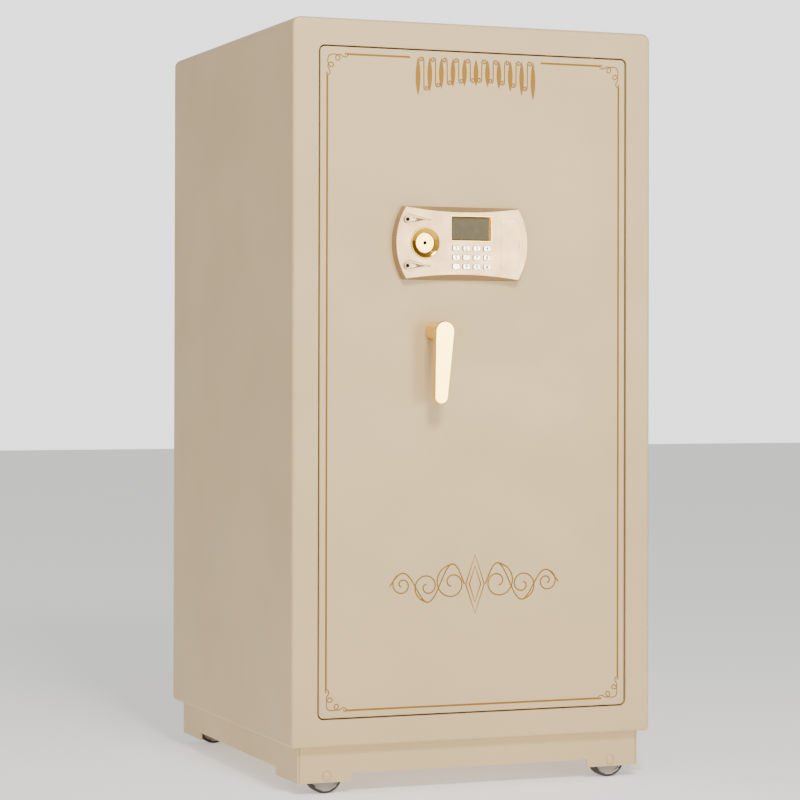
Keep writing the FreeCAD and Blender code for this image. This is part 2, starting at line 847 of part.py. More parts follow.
def pinion():
    """Spur pinion on the spindle, with a tooth pointing to +X."""
    base = pitch_radius * math.cos(pressure_angle)
    tip = pitch_radius + gear_module
    root = pitch_radius - rack_fall
    half_tooth = (math.pi * gear_module / 2 - gear_backlash) / 2 / pitch_radius
    at_pitch = involute(base, pitch_radius)
    steps = 6
    points = []
    for tooth in range(gear_teeth):
        centre = 2 * math.pi * tooth / gear_teeth
        flank = [base + (tip - base) * i / steps for i in range(steps + 1)]
        widths = [half_tooth + at_pitch - involute(base, radius) for radius in flank]
        points.append((root, centre - widths[0]))
        points += [(radius, centre - width) for radius, width in zip(flank, widths)]
        points += [(radius, centre + width) for radius, width in reversed(list(zip(flank, widths)))]
        points.append((root, centre + widths[0]))
    outline = [(handle_x + r * math.cos(a), handle_z + r * math.sin(a)) for r, a in points]
    gear = extrude_xz(polygon_xz(outline, pinion_depths[0]), *pinion_depths)
    return cut(gear, bar_y(handle_x, handle_z, spindle_radius, pinion_depths[0] - 1, pinion_depths[1] + 1))


def rack_outline(first, count, tooth_at_start):
    """(along, toward pinion) points of a rack's toothed edge, from tooth to tooth, pitch line at 0."""
    pitch = math.pi * gear_module
    half = (pitch / 2 - gear_backlash) / 2
    rise = 0.9 * gear_module
    slope = math.tan(pressure_angle)
    shift = 0.0 if tooth_at_start else 0.5
    points = []
    for i in range(count):
        centre = (first + i + shift) * pitch
        points += [
            (centre - half - rack_fall * slope, -rack_fall),
            (centre - half + rise * slope, rise),
            (centre + half - rise * slope, rise),
            (centre + half + rack_fall * slope, -rack_fall),
        ]
    return points


def boltwork():
    parts = {}
    tip_x = pan_left - bolt_rest_proud
    bar_x0 = tip_x + bolt_length
    bar_x1 = bar_x0 + carrier_thickness
    bolts = []
    for z in live_bolt_heights():
        bolt = bar_x(tip_x, bar_x0, bolt_depth, z, bolt_radius)
        tip_edge = [edge for edge in bolt.Edges if abs(edge.BoundBox.XMax - tip_x) < 1e-4]
        bolts.append(bolt.makeChamfer(bolt_tip_chamfer, tip_edge))
    parts["lock_bolts"] = bolts

    spread_z = live_bolt_heights()
    upright = block(
        bar_x0, bar_x1, bolt_depth - bolt_radius + carrier_side_step, bolt_depth + bolt_radius - carrier_side_step,
        min(spread_z) - carrier_overhang, max(spread_z) + carrier_overhang,
    )
    teeth = [(handle_x + along, handle_z - pitch_radius + out) for along, out in rack_outline(-2, 9, True)]
    rack_end = teeth[-1][0] + rack_margin
    floor_z = handle_z - pitch_radius - rack_fall - rod_width
    roof_z = handle_z - pitch_radius - rack_fall
    outline = [(bar_x1, floor_z), (rack_end, floor_z), (rack_end, roof_z)]
    outline += list(reversed(teeth)) + [(bar_x1, roof_z)]
    rack = extrude_xz(polygon_xz(outline, carrier_rack_depths[0]), *carrier_rack_depths)
    parts["bolt_carrier"] = fuse(upright, rack)
    parts["drive_pinion"] = pinion()

    rod_depth = sum(rod_depths) / 2
    for name, side in (("upper_rod", -1), ("lower_rod", 1)):
        pitch_x = handle_x + side * pitch_radius
        edge_x = pitch_x + side * rack_fall
        outer_x = edge_x + side * rod_width
        centre_x = (edge_x + outer_x) / 2
        up = -side
        teeth = [(pitch_x - side * out, handle_z + up * along) for along, out in rack_outline(-6, 9, False)]
        if side < 0:
            end_z = pan_top + bolt_rest_proud - rod_bolt_length
        else:
            end_z = pan_bottom - bolt_rest_proud + rod_bolt_length
        start_z = teeth[0][1] - up * rack_margin
        outline = [(edge_x, start_z)] + teeth + [(edge_x, end_z), (outer_x, end_z), (outer_x, start_z)]
        bar = extrude_xz(polygon_xz(outline, rod_depths[0]), *rod_depths)
        tab_x0, tab_x1 = spread(outer_x, outer_x + side * tab_length)
        anchor_z = panel_z if side < 0 else handle_z - solenoid_drop
        near = bolt_throw - tab_gap
        tab_z0, tab_z1 = spread(anchor_z - up * near, anchor_z - up * (near - tab_height))
        tab = block(tab_x0, tab_x1, rod_depths[0], rod_depths[1], tab_z0, tab_z1)
        tip_z = end_z + up * rod_bolt_length
        b0, b1 = spread(end_z, tip_z)
        bolt = bar_z(centre_x, rod_depth, rod_bolt_radius, b0, b1)
        tip_edge = [
            edge for edge in bolt.Edges
            if abs(edge.BoundBox.ZMin - tip_z) < 1e-4 and abs(edge.BoundBox.ZMax - tip_z) < 1e-4
        ]
        parts[name] = [fuse(bar, tab), bolt.makeChamfer(bolt_tip_chamfer, tip_edge)]

    guide_x0 = pan_left + guide_offset
    guide = block(
        guide_x0, guide_x0 + guide_thickness, door_thickness, pan_depth - pan_wall,
        min(spread_z) - 2 * carrier_overhang, max(spread_z) + 2 * carrier_overhang,
    )
    guide_holes = [
        bar_x(guide_x0 - 1, guide_x0 + guide_thickness + 1, bolt_depth, z, bolt_radius + bolt_clearance)
        for z in spread_z
    ]
    guides = [cut(guide, *guide_holes)]
    for x, z in (
        (upper_rod_x(), pan_top - guide_setback),
        (upper_rod_x(), panel_z + upper_guide_rise),
        (lower_rod_x(), pan_bottom + guide_setback),
        (lower_rod_x(), handle_z - guide_setback),
    ):
        half = rod_width / 2 + guide_thickness
        body = block(x - half, x + half, door_thickness, rod_depths[1] + guide_thickness, z, z + guide_block_length)
        slot = block(
            x - rod_width / 2 - bolt_clearance, x + rod_width / 2 + bolt_clearance,
            rod_depths[0] - bolt_clearance, rod_depths[1] + bolt_clearance, z - 1, z + guide_block_length + 1,
        )
        guides.append(cut(body, slot))
    parts["boltwork_guides"] = guides
    return parts


# ---------------------------------------------------------------- handle
def tapered_outline(x1, z1, r1, x2, z2, r2, depth):
    """Closed wire around two circles of different size, with straight tangents between them."""
    y = at(depth)
    length = math.hypot(x2 - x1, z2 - z1)
    axis = math.atan2(z2 - z1, x2 - x1)
    spread_angle = math.acos((r1 - r2) / length)

    def point(x, z, r, angle):
        return Vector(x + r * math.cos(angle), y, z + r * math.sin(angle))

    a1 = point(x1, z1, r1, axis + spread_angle)
    a2 = point(x2, z2, r2, axis + spread_angle)
    b1 = point(x1, z1, r1, axis - spread_angle)
    b2 = point(x2, z2, r2, axis - spread_angle)
    return Part.Wire(
        [
            Part.LineSegment(a1, a2).toShape(),
            Part.Arc(a2, point(x2, z2, r2, axis), b2).toShape(),
            Part.LineSegment(b2, b1).toShape(),
            Part.Arc(b1, point(x1, z1, r1, axis + math.pi), a1).toShape(),
        ]
    )


def handle():
    parts = {}
    front = -handle_projection
    back = front + lever_thickness
    outline = tapered_outline(
        handle_x, handle_z, lever_head_radius,
        handle_x + lever_end_offset, handle_z - lever_length, lever_end_radius, front,
    )
    lever = extrude_xz(outline, front, back)
    lever = lever.makeChamfer(lever_bevel, edges_in_plane(lever, front, lambda point: True))
    neck = Part.makeCone(
        hub_neck_radius, hub_base_radius, -hub_door_gap - back, Vector(handle_x, at(back), handle_z), Vector(0, 1, 0)
    )
    socket_depth = back + lever_thickness
    socket = bar_y(handle_x, handle_z, spindle_radius, socket_depth, 0)
    parts["handle_lever"] = cut(fuse(lever, neck), socket)
    shaft = bar_y(handle_x, handle_z, spindle_radius, socket_depth, pinion_depths[1] + spindle_end)
    collar_start = door_thickness + bolt_clearance
    collar = bar_y(handle_x, handle_z, spindle_collar_radius, collar_start, collar_start + spindle_collar_length)
    parts["handle_spindle"] = fuse(shaft, collar)
    return parts


# ---------------------------------------------------------------- lock panel
def panel_outline(half_width, corner_half_width, half_height, waist, depth):
    """Four-sided outline: round ends that bulge out, and long edges that may curve in by the waist."""
    y = at(depth)
    left, right = panel_x - corner_half_width, panel_x + corner_half_width
    low, high = panel_z - half_height, panel_z + half_height
    corners = [Vector(right, y, low), Vector(right, y, high), Vector(left, y, high), Vector(left, y, low)]
    middles = [
        Vector(panel_x + half_width, y, panel_z),
        Vector(panel_x, y, high - waist),
        Vector(panel_x - half_width, y, panel_z),
        Vector(panel_x, y, low + waist),
    ]
    edges = []
    for i, middle in enumerate(middles):
        start, stop = corners[i], corners[(i + 1) % 4]
        edges.append(Part.Arc(start, middle, stop).toShape())
    return Part.Wire(edges)


def cover_outline(grow, depth):
    """Battery cover: three straight sides and a round end that follows the panel's end."""
    y = at(depth)
    left = panel_x + cover_left - grow
    right = panel_x + cover_right_corner + grow
    low, high = panel_z - cover_half_height - grow, panel_z + cover_half_height + grow
    a, b, c, d = Vector(left, y, low), Vector(right, y, low), Vector(right, y, high), Vector(left, y, high)
    tip = Vector(right + cover_right_bulge, y, panel_z)
    return Part.Wire(
        [
            Part.LineSegment(a, b).toShape(),
            Part.Arc(b, tip, c).toShape(),
            Part.LineSegment(c, d).toShape(),
            Part.LineSegment(d, a).toShape(),
        ]
    )


def key_places():
    for row in range(key_rows):
        for column in range(key_columns):
            x = panel_x + key_first[0] + key_pitch[0] * column
            z = panel_z + key_first[1] - key_pitch[1] * row
            yield f"key_{row + 1}_{column + 1}", x, z


def rounded_button(x, z, grow, depth0, depth1):
    half_x, half_z = key_size[0] / 2 + grow, key_size[1] / 2 + grow
    return rounded_slab(x - half_x, x + half_x, z - half_z, z + half_z, key_corner, key_corner, depth0, depth1)


def screw_places():
    for sign in (1, -1):
        yield panel_x + panel_screw_x, panel_z + sign * panel_screw_height


def teardrop_ridge(x, z):
    """Half cone lying on the floor of the recess, from the screw boss to the recess's point."""
    floor_y = at(-panel_thickness + teardrop_depth)
    cone = Part.makeCone(
        teardrop_radius * 0.62, 0.0, teardrop_length * 0.86, Vector(x, floor_y, z), Vector(1, 0, 0)
    )
    head = Part.makeSphere(teardrop_radius * 0.62, Vector(x, floor_y, z))
    top_slab = block(
        x - teardrop_radius, x + teardrop_length, -panel_thickness + 0.3, -panel_thickness + teardrop_depth + 1,
        z - teardrop_radius, z + teardrop_radius,
    )
    return fuse(cone, head).common(top_slab)


def fascia():
    face = -panel_thickness
    low_wire = panel_outline(panel_half_width, panel_corner_half_width, panel_half_height, foot_waist, -panel_foot)
    foot = extrude_xz(low_wire, -panel_foot, 0)
    high_wire = panel_outline(
        panel_half_width - face_inset, panel_corner_half_width - face_inset / 2,
        panel_half_height - face_inset / 2, face_waist, face,
    )
    raised = Part.makeLoft([low_wire, high_wire], True, True)
    shell = fuse(foot, raised)
    shell = shell.makeFillet(panel_edge_radius, edges_in_plane(shell, face, lambda point: True))

    lock_centre = panel_x + lock_x
    display_x, display_z = panel_x + display_offset[0], panel_z + display_offset[1]
    body_w, body_h = display_size[0] / 2 - bezel_lip, display_size[1] / 2 - bezel_lip
    back = face + panel_skin
    pocket_left = lock_centre + lock_ring_body_radius + panel_skin
    pocket_right = panel_x + cover_left - 2 * panel_skin
    pocket_half = panel_half_height - face_waist - 2 * panel_skin
    tools = [
        block(pocket_left, pocket_right, back, 0, panel_z - pocket_half, panel_z + pocket_half),
        bar_y(lock_centre, panel_z, lock_ring_body_radius, face - 1, 0),
        block(display_x - body_w, display_x + body_w, face - 1, 0, display_z - body_h, display_z + body_h),
        extrude_xz(cover_outline(cover_gap, face - 1), face - 1, face + cover_plate - cover_proud + cover_gap),
    ]
    tray_half = 2 * cell_radius + tray_wall
    tray_high = cell_length / 2 + 2 * tray_wall
    tools.append(
        block(
            panel_x + tray_x - tray_half, panel_x + tray_x + tray_half, face, 0,
            panel_z - tray_high, panel_z + tray_high,
        )
    )
    tools += [rounded_button(x, z, key_gap, face - 1, back + 1) for _, x, z in key_places()]
    for x, z in screw_places():
        recess = extrude_xz(
            tapered_outline(x, z, teardrop_radius, x + teardrop_length, z, 0.4, face - 1),
            face - 1, face + teardrop_depth,
        )
        tools.append(cut(recess, teardrop_ridge(x, z)))
        tools.append(bar_y(x, z, screw_recess_radius, face - 1, face + 2 * teardrop_depth))
        tools.append(bar_y(x, z, screw_radius, face, 0))
    return cut(shell, *tools)


def lock_panel():
    parts = {"panel_fascia": fascia()}
    face = -panel_thickness
    display_x, display_z = panel_x + display_offset[0], panel_z + display_offset[1]
    w, h = display_size[0] / 2, display_size[1] / 2
    glass_face = face + display_glass_depth
    flange = block(display_x - w, display_x + w, face - display_flange, face, display_z - h, display_z + h)
    flange = flange.makeChamfer(0.4, edges_in_plane(flange, face - display_flange, lambda point: True))
    body = block(
        display_x - w + bezel_lip, display_x + w - bezel_lip, face, glass_face,
        display_z - h + bezel_lip, display_z + h - bezel_lip,
    )
    wide = polygon_xz(rectangle(display_x, display_z, w - bezel_lip, h - bezel_lip), face - display_flange - 0.001)
    narrow = polygon_xz(rectangle(display_x, display_z, display_window[0] / 2, display_window[1] / 2), glass_face)
    parts["display_bezel"] = cut(fuse(flange, body), Part.makeLoft([wide, narrow], True, True))
    parts["display_glass"] = block(
        display_x - w + bezel_lip, display_x + w - bezel_lip, glass_face, glass_face + display_glass_thickness,
        display_z - h + bezel_lip, display_z + h - bezel_lip,
    )
    pocket_left = panel_x + lock_x + lock_ring_body_radius + panel_skin
    pocket_right = panel_x + cover_left - 2 * panel_skin
    pocket_half = panel_half_height - face_waist - 2 * panel_skin
    parts["circuit_board"] = block(
        pocket_left + 1, pocket_right - 1, -board_depth, -board_depth + board_thickness,
        panel_z - pocket_half + 1, panel_z + pocket_half - 1,
    )
    flange_front = face + panel_skin + key_stop_gap
    for name, x, z in key_places():
        cap = rounded_button(x, z, 0, face - key_proud, flange_front)
        cap = cap.makeFillet(0.7, edges_in_plane(cap, face - key_proud, lambda point: True))
        stop = rounded_button(x, z, key_flange, flange_front, flange_front + key_flange)
        stem = bar_y(x, z, key_stem_radius, flange_front + key_flange, -board_depth - key_travel - key_board_gap)
        parts[name] = fuse(cap, stop, stem)

    cover = extrude_xz(cover_outline(0, face - cover_proud), face - cover_proud, face + cover_plate - cover_proud)
    notch_x = panel_x + cover_right_corner + cover_right_bulge - cover_notch_radius
    notch = bar_y(notch_x, panel_z, cover_notch_radius, face - 1, face + cover_plate / 2 - cover_proud)
    keep = block(
        notch_x - 2 * cover_notch_radius, notch_x, face - 2, face + cover_plate,
        panel_z - 2 * cover_notch_radius, panel_z + 2 * cover_notch_radius,
    )
    parts["battery_cover"] = cut(cover, notch.common(keep))

    half = 2 * cell_radius + tray_wall
    high = cell_length / 2 + 2 * tray_wall
    cx = panel_x + tray_x
    tray_back = tray_front_depth + 4 * cell_radius + tray_wall
    tray = block(cx - half, cx + half, tray_front_depth, tray_back, panel_z - high, panel_z + high)
    room = block(
        cx - half + tray_wall, cx + half - tray_wall, tray_front_depth - 1, tray_back - tray_wall,
        panel_z - high + tray_wall, panel_z + high - tray_wall,
    )
    parts["battery_tray"] = cut(tray, room)
    cells = []
    for column in (-1, 1):
        for layer in (0, 1):
            depth = tray_front_depth + cell_radius * (1 + 2 * layer)
            x = cx + column * cell_radius
            low = panel_z - cell_length / 2
            can = bar_z(x, depth, cell_radius - 0.05, low, low + cell_length - 1)
            cap = bar_z(x, depth, cell_radius * 0.35, low + cell_length - 1, low + cell_length)
            cells.append(fuse(can, cap))
    parts["battery_cells"] = cells

    screws = []
    for x, z in screw_places():
        seat = face + 2 * teardrop_depth
        head_face = seat - screw_head_height
        head = bar_y(x, z, screw_head_radius, head_face, seat)
        floor = head_face + screw_cross_depth
        half = screw_cross_width / 2
        cross = [
            block(x - screw_radius, x + screw_radius, head_face - 1, floor, z - half, z + half),
            block(x - half, x + half, head_face - 1, floor, z - screw_radius, z + screw_radius),
        ]
        shank = bar_y(x, z, screw_radius, seat, 0)
        screws.append(cut(fuse(head, shank), *cross))
    parts["panel_screws"] = screws
    return parts


def rectangle(x, z, half_x, half_z):
    return [(x - half_x, z - half_z), (x + half_x, z - half_z), (x + half_x, z + half_z), (x - half_x, z + half_z)]


# ---------------------------------------------------------------- key lock and solenoid
def key_lock():
    parts = {}
    x = panel_x + lock_x
    z = panel_z
    face = -panel_thickness
    rim = face - lock_ring_proud
    disc_face = face + lock_disc_sink
    disc_back = disc_face + lock_disc_thickness
    ring_back = face + lock_ring_depth
    flat = lock_ring_radius - lock_ring_chamfer
    parts["lock_ring"] = turned(
        [
            (lock_ring_radius, face), (lock_ring_radius, rim + lock_ring_chamfer), (flat, rim),
            (flat - lock_ring_rim, rim), (lock_ring_bore, disc_face), (lock_ring_bore, ring_back),
            (lock_ring_body_radius, ring_back), (lock_ring_body_radius, face),
        ],
        x, z,
    )
    plug = fuse(
        turned(
            [
                (0, disc_face), (lock_disc_radius - lock_disc_chamfer, disc_face),
                (lock_disc_radius, disc_face + lock_disc_chamfer),
                (lock_disc_radius, disc_back), (0, disc_back),
            ],
            x, z,
        ),
        bar_y(x, z, lock_shaft_radius, disc_back, housing_depth + plug_end_gap),
        bar_y(x, z, tail_radius, housing_depth + plug_end_gap, tail_depth),
        bar_y(
            x - deadlock_travel / 2, z + deadlock_travel / 2, crank_pin_radius,
            tail_depth, slide_depths[1] + crank_pin_end,
        ),
    )
    parts["lock_plug"] = cut(plug, bar_y(x, z, keyhole_radius, disc_face - 1, disc_face + keyhole_length))

    clearance = spindle_clearance
    tube = bar_y(x, z, lock_ring_bore, ring_back, housing_depth)
    flange = block(
        x - housing_flange, x + housing_flange, door_thickness, housing_depth, z - housing_flange, z + housing_flange
    )
    slide_top = crank_radius + crank_pin_radius + slide_margin
    slide_low = slide_half_height + slide_skirt
    rails = [
        block(
            x - housing_flange, x + housing_flange, housing_depth, slide_depths[1] + 1,
            z + slide_top + bolt_clearance, z + housing_flange,
        ),
        block(
            x - housing_flange, x + housing_flange, housing_depth, slide_depths[1] + 1,
            z - housing_flange, z - tail_radius - bolt_clearance,
        ),
    ]
    bore = bar_y(x, z, lock_shaft_radius + clearance, face, housing_depth + 1)
    tail_room = bar_y(x, z, tail_radius + clearance, housing_depth, tail_depth + 1)
    parts["lock_housing"] = cut(fuse(tube, flange, *rails), bore, tail_room)

    rod_edge = upper_rod_x() - rod_width / 2
    nose_tip = rod_edge - tab_length - tab_clearance
    plate = block(
        nose_tip - slide_nose_length, x + crank_radius, slide_depths[0], slide_depths[1],
        z - slide_low, z + slide_top,
    )
    slot_half = crank_pin_radius + crank_slot_clearance
    pin_x = x - deadlock_travel / 2
    slot = block(
        pin_x - slot_half, pin_x + slot_half, slide_depths[0] - 1, slide_depths[1] + 1,
        z + deadlock_travel / 2 - slot_half, z + crank_radius + slot_half,
    )
    nose = block(
        nose_tip - slide_nose_length, nose_tip, slide_depths[1], rod_depths[1],
        z - slide_half_height, z + slide_half_height,
    )
    parts["deadlock_slide"] = fuse(cut(plate, slot), nose)
    return parts


def solenoid():
    parts = {}
    z = handle_z - solenoid_drop
    depth = sum(rod_depths) / 2
    rod_edge = lower_rod_x() + rod_width / 2
    tip = rod_edge + tab_length + tab_clearance
    case_left = tip + plunger_proud
    w, d, h = solenoid_size
    case = block(case_left, case_left + w, depth - d / 2, depth + d / 2, z - h / 2, z + h / 2)
    tail = case_left + w + plunger_tail
    bore = bar_x(case_left - 1, case_left + w + 1, depth, z, plunger_radius + plunger_clearance)
    foot = block(case_left, case_left + w, door_thickness, depth - d / 2, z - h / 2, z - h / 2 + solenoid_foot)
    parts["solenoid_case"] = cut(fuse(case, foot), bore)
    parts["solenoid_plunger"] = bar_x(tip, tail + plunger_travel, depth, z, plunger_radius)
    return parts


def save(name, shape):
    """One STEP file for one node, holding one solid or several."""
    solids = []
    for piece in shape if isinstance(shape, list) else [shape]:
        solids += piece.Solids
    whole = solids[0] if len(solids) == 1 else Part.makeCompound(solids)
    whole.exportStep(f"parts/{name}.step")
    return len(solids)


def main():
    os.makedirs("parts", exist_ok=True)
    builders = (
        cabinet_shell, shelving, plinth, running_gear, door_shell, hinge_and_dead_bolts,
        boltwork, handle, lock_panel, key_lock, solenoid,
    )
    total = 0
    for build in builders:
        for name, shape in build().items():
            count = save(name, shape)
            total += 1
            print(f"{name}: {count}")
    print("nodes", total)


main()
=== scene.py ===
import json
import math

import bmesh
import bpy
from mathutils import Matrix, Vector


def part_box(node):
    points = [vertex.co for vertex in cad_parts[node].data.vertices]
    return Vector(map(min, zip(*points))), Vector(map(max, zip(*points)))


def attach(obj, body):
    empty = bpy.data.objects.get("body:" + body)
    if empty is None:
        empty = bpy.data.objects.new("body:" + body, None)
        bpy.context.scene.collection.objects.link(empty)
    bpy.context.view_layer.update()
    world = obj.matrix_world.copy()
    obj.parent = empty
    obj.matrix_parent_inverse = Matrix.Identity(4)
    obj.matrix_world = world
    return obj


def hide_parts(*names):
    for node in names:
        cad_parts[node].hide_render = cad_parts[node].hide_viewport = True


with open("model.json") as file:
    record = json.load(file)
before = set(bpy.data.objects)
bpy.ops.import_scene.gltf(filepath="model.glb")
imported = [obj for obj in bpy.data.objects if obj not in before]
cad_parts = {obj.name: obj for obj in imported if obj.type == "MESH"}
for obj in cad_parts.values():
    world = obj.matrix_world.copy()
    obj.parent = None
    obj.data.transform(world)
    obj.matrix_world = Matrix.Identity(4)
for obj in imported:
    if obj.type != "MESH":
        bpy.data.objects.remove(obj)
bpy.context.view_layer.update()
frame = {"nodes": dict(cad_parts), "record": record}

MM = 0.001

# ---------------------------------------------------------------- colours (linear light)
PAINT_COLOUR = (0.655, 0.48, 0.25)
GOLD_COLOUR = (0.96, 0.66, 0.17)
DEEP_GOLD_COLOUR = (0.80, 0.44, 0.05)
PRINT_COLOUR = (0.30, 0.145, 0.014)
PANEL_COLOUR = (0.94, 0.63, 0.31)
# painted shade: a darker copy of the panel lacquer for the panel's walls and slopes, in place of their shade
PANEL_PAINTED_SHADE_COLOUR = (0.38, 0.25, 0.115)
KEY_COLOUR = (0.90, 0.82, 0.68)
# painted shade: a dark copy of the key finish for the keys' sides, in place of the shadow of their pockets
KEY_PAINTED_SHADE_COLOUR = (0.22, 0.19, 0.15)
LEGEND_COLOUR = (0.05, 0.042, 0.036)
DISPLAY_COLOUR = (0.10, 0.082, 0.034)
STEEL_COLOUR = (0.55, 0.55, 0.54)
NICKEL_COLOUR = (0.72, 0.71, 0.69)
BRONZE_COLOUR = (0.48, 0.30, 0.14)
INNER_PAINT_COLOUR = (0.20, 0.19, 0.18)
FILLING_COLOUR = (0.42, 0.40, 0.36)
BOARD_COLOUR = (0.02, 0.12, 0.05)
BLACK_COLOUR = (0.015, 0.015, 0.015)
CELL_COLOUR = (0.03, 0.03, 0.04)
TYRE_COLOUR = (0.035, 0.028, 0.024)
HUB_COLOUR = (0.30, 0.27, 0.23)

# ---------------------------------------------------------------- places read from the frame
DOOR_LOW, DOOR_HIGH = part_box("door_plate")
BODY_LOW, BODY_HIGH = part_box("outer_wrap")
FACE_Y = DOOR_LOW.y
DOOR_CENTRE_X = (DOOR_LOW.x + DOOR_HIGH.x) / 2
BORDER_INSET = 10 * MM             # printed line inside the door's edge
BORDER_WIDTH = 2.6 * MM
SCROLL_SPAN = 29 * MM              # corner ornament, along each side
SCROLL_WIDTH = 1.4 * MM
PRINT_THICKNESS = 0.12 * MM
PRINT_LIFT = 0.02 * MM
CROSSING_LIFT = 0.03 * MM          # rise along a line, so that it passes over itself
CREST_HALF_WIDTH = 96 * MM
CREST_LEAVES = 11
CREST_MIDDLE_LENGTH = 38 * MM
CREST_END_LENGTH = 58 * MM
CREST_GAP = 3 * MM                 # between the frieze and the ends of the top line
CREST_LINE_WIDTH = 1.6 * MM
LEAF_HALF_WIDTH_SHARE = 0.21       # of the leaves' pitch
SCROLL_LENGTH_SHARE = 0.86         # of the leaf beside it
SCROLL_RADIUS_SHARE = 0.22         # of the leaves' pitch
EMBLEM_HALF_WIDTH = 128 * MM
EMBLEM_RISE = 178 * MM             # emblem's middle above the door's bottom edge
EMBLEM_START = 16 * MM             # where each stem starts beside the middle
EMBLEM_WAVES = 3
EMBLEM_SWING = 32 * MM             # of the stem at its start
EMBLEM_END_SWING = 15 * MM
EMBLEM_LINE_WIDTH = 1.8 * MM
CURL_SHARE = 0.92                  # a curl's radius, of the stem's swing there
LOZENGE_HALF_WIDTH = 14 * MM
LOZENGE_HALF_HEIGHT = 41 * MM
LOZENGE_INNER_SHARE = 0.62
HUB_RADIUS = 21.45 * MM
KEYHOLE_RADIUS = 2.9 * MM
JOIN_DISTANCE = 0.004 * MM         # points closer than this are one point
# panel faces that look forward less squarely than this get the painted shade
PANEL_SHADE_LEVEL = 0.985                # how squarely a face looks forward to count as front
# key faces that look forward less squarely than this get the painted shade
KEY_SHADE_LEVEL = 0.95
MARK_LIFT = 0.02 * MM              # legends and lock marks, above the face they are on
MARK_THICKNESS = 0.06 * MM
MARK_WIDTH = 0.7 * MM
# Name, radius and length in millimetres, and count of the two rings of marks on the lock's face.
LOCK_MARKS = (("lock_tick_marks", 10.2, 3.0, 18), ("lock_inner_marks", 6.2, 1.6, 9))


# ================================================================ materials
class Shader:
    """A material with one principled shader, and short calls for the nodes that feed it."""

    def __init__(self, name):
        self.material = bpy.data.materials.new(name)
        self.material.use_nodes = True
        self.tree = self.material.node_tree
        self.main = self.tree.nodes["Principled BSDF"]
        self.place = self.tree.nodes.new("ShaderNodeTexCoord").outputs["Object"]

    def set(self, **values):
        for key, value in values.items():
            self.main.inputs[key.replace("_", " ")].default_value = value

    def link(self, out, socket):
        self.tree.links.new(out, socket)

    def noise(self, scale, detail=3.0, roughness=0.5, stretch=None):
        """Grey noise on object coordinates; stretch lengthens it along an axis."""
        node = self.tree.nodes.new("ShaderNodeTexNoise")
        node.inputs["Scale"].default_value = scale
        node.inputs["Detail"].default_value = detail
        node.inputs["Roughness"].default_value = roughness
        place = self.place
        if stretch:
            mapping = self.tree.nodes.new("ShaderNodeMapping")
            mapping.inputs["Scale"].default_value = stretch
            self.link(self.place, mapping.inputs["Vector"])
            place = mapping.outputs["Vector"]
        self.link(place, node.inputs["Vector"])
        return node.outputs["Fac"]

    def ramp(self, value, low, high, start, stop):
        """Map a value between two stops to a number between start and stop."""
        node = self.tree.nodes.new("ShaderNodeMapRange")
        node.inputs["From Min"].default_value = low
        node.inputs["From Max"].default_value = high
        node.inputs["To Min"].default_value = start
        node.inputs["To Max"].default_value = stop
        self.link(value, node.inputs["Value"])
        return node.outputs["Result"]

    def blend(self, factor, first, second):
        """Mix two colours, each a tuple or a socket."""
        node = self.tree.nodes.new("ShaderNodeMix")
        node.data_type = "RGBA"
        for socket, colour in ((node.inputs[6], first), (node.inputs[7], second)):
            if isinstance(colour, tuple):
                socket.default_value = (*colour, 1.0)
            else:
                self.link(colour, socket)
        self.link(factor, node.inputs[0])
        return node.outputs[2]

    def bump(self, height, strength, distance):
        node = self.tree.nodes.new("ShaderNodeBump")
        node.inputs["Strength"].default_value = strength
        node.inputs["Distance"].default_value = distance
        self.link(height, node.inputs["Height"])
        self.link(node.outputs["Normal"], self.main.inputs["Normal"])

    def colour(self, out):
        self.link(out, self.main.inputs["Base Color"])

    def roughness(self, out):
        self.link(out, self.main.inputs["Roughness"])


def tinted(colour, share):
    """A colour made lighter (share over 1) or darker (share under 1)."""
    return tuple(min(channel * share, 1.0) for channel in colour)


def powder_coat(name, colour, metallic=0.12, rough=(0.36, 0.50), grain=0.35):
    """Fine orange-peel paint with a faint metallic fleck and slow drifts of tone."""
    shader = Shader(name)
    shader.set(Metallic=metallic, Specular_IOR_Level=0.25)
    drift = shader.ramp(shader.noise(4.0, 2.0), 0.35, 0.65, 0.0, 1.0)
    tone = shader.blend(drift, tinted(colour, 0.965), tinted(colour, 1.03))
    fleck = shader.ramp(shader.noise(2600.0, 1.0), 0.55, 0.75, 0.0, 0.35)
    shader.colour(shader.blend(fleck, tone, tinted(colour, 1.18)))
    shader.roughness(shader.ramp(shader.noise(9.0, 3.0), 0.3, 0.7, *rough))
    shader.bump(shader.noise(620.0, 2.0, 0.55), grain, 0.00025)
    return shader.material


def polished_metal(name, colour, rough=(0.14, 0.19), brushed=None, bump=0.02):
    """Plated metal with soft haze patches and hairline polishing marks."""
    shader = Shader(name)
    shader.set(Metallic=1.0)
    haze = shader.noise(45.0, 2.0)
    shader.colour(shader.blend(haze, tinted(colour, 0.97), tinted(colour, 1.02)))
    shader.roughness(shader.ramp(haze, 0.3, 0.7, *rough))
    marks = shader.noise(900.0, 2.0, 0.6, brushed or (1.0, 1.0, 0.12))
    shader.bump(marks, bump, 0.0001)
    return shader.material


def zinc(name):
    """Zinc plate: blotchy grey crystals with varying gloss."""
    shader = Shader(name)
    shader.set(Metallic=0.9)
    blotch = shader.noise(140.0, 4.0, 0.65)
    shader.colour(shader.blend(blotch, tinted(STEEL_COLOUR, 0.72), tinted(STEEL_COLOUR, 1.15)))
    shader.roughness(shader.ramp(blotch, 0.3, 0.7, 0.28, 0.5))
    shader.bump(shader.noise(1400.0, 2.0), 0.12, 0.0001)
    return shader.material


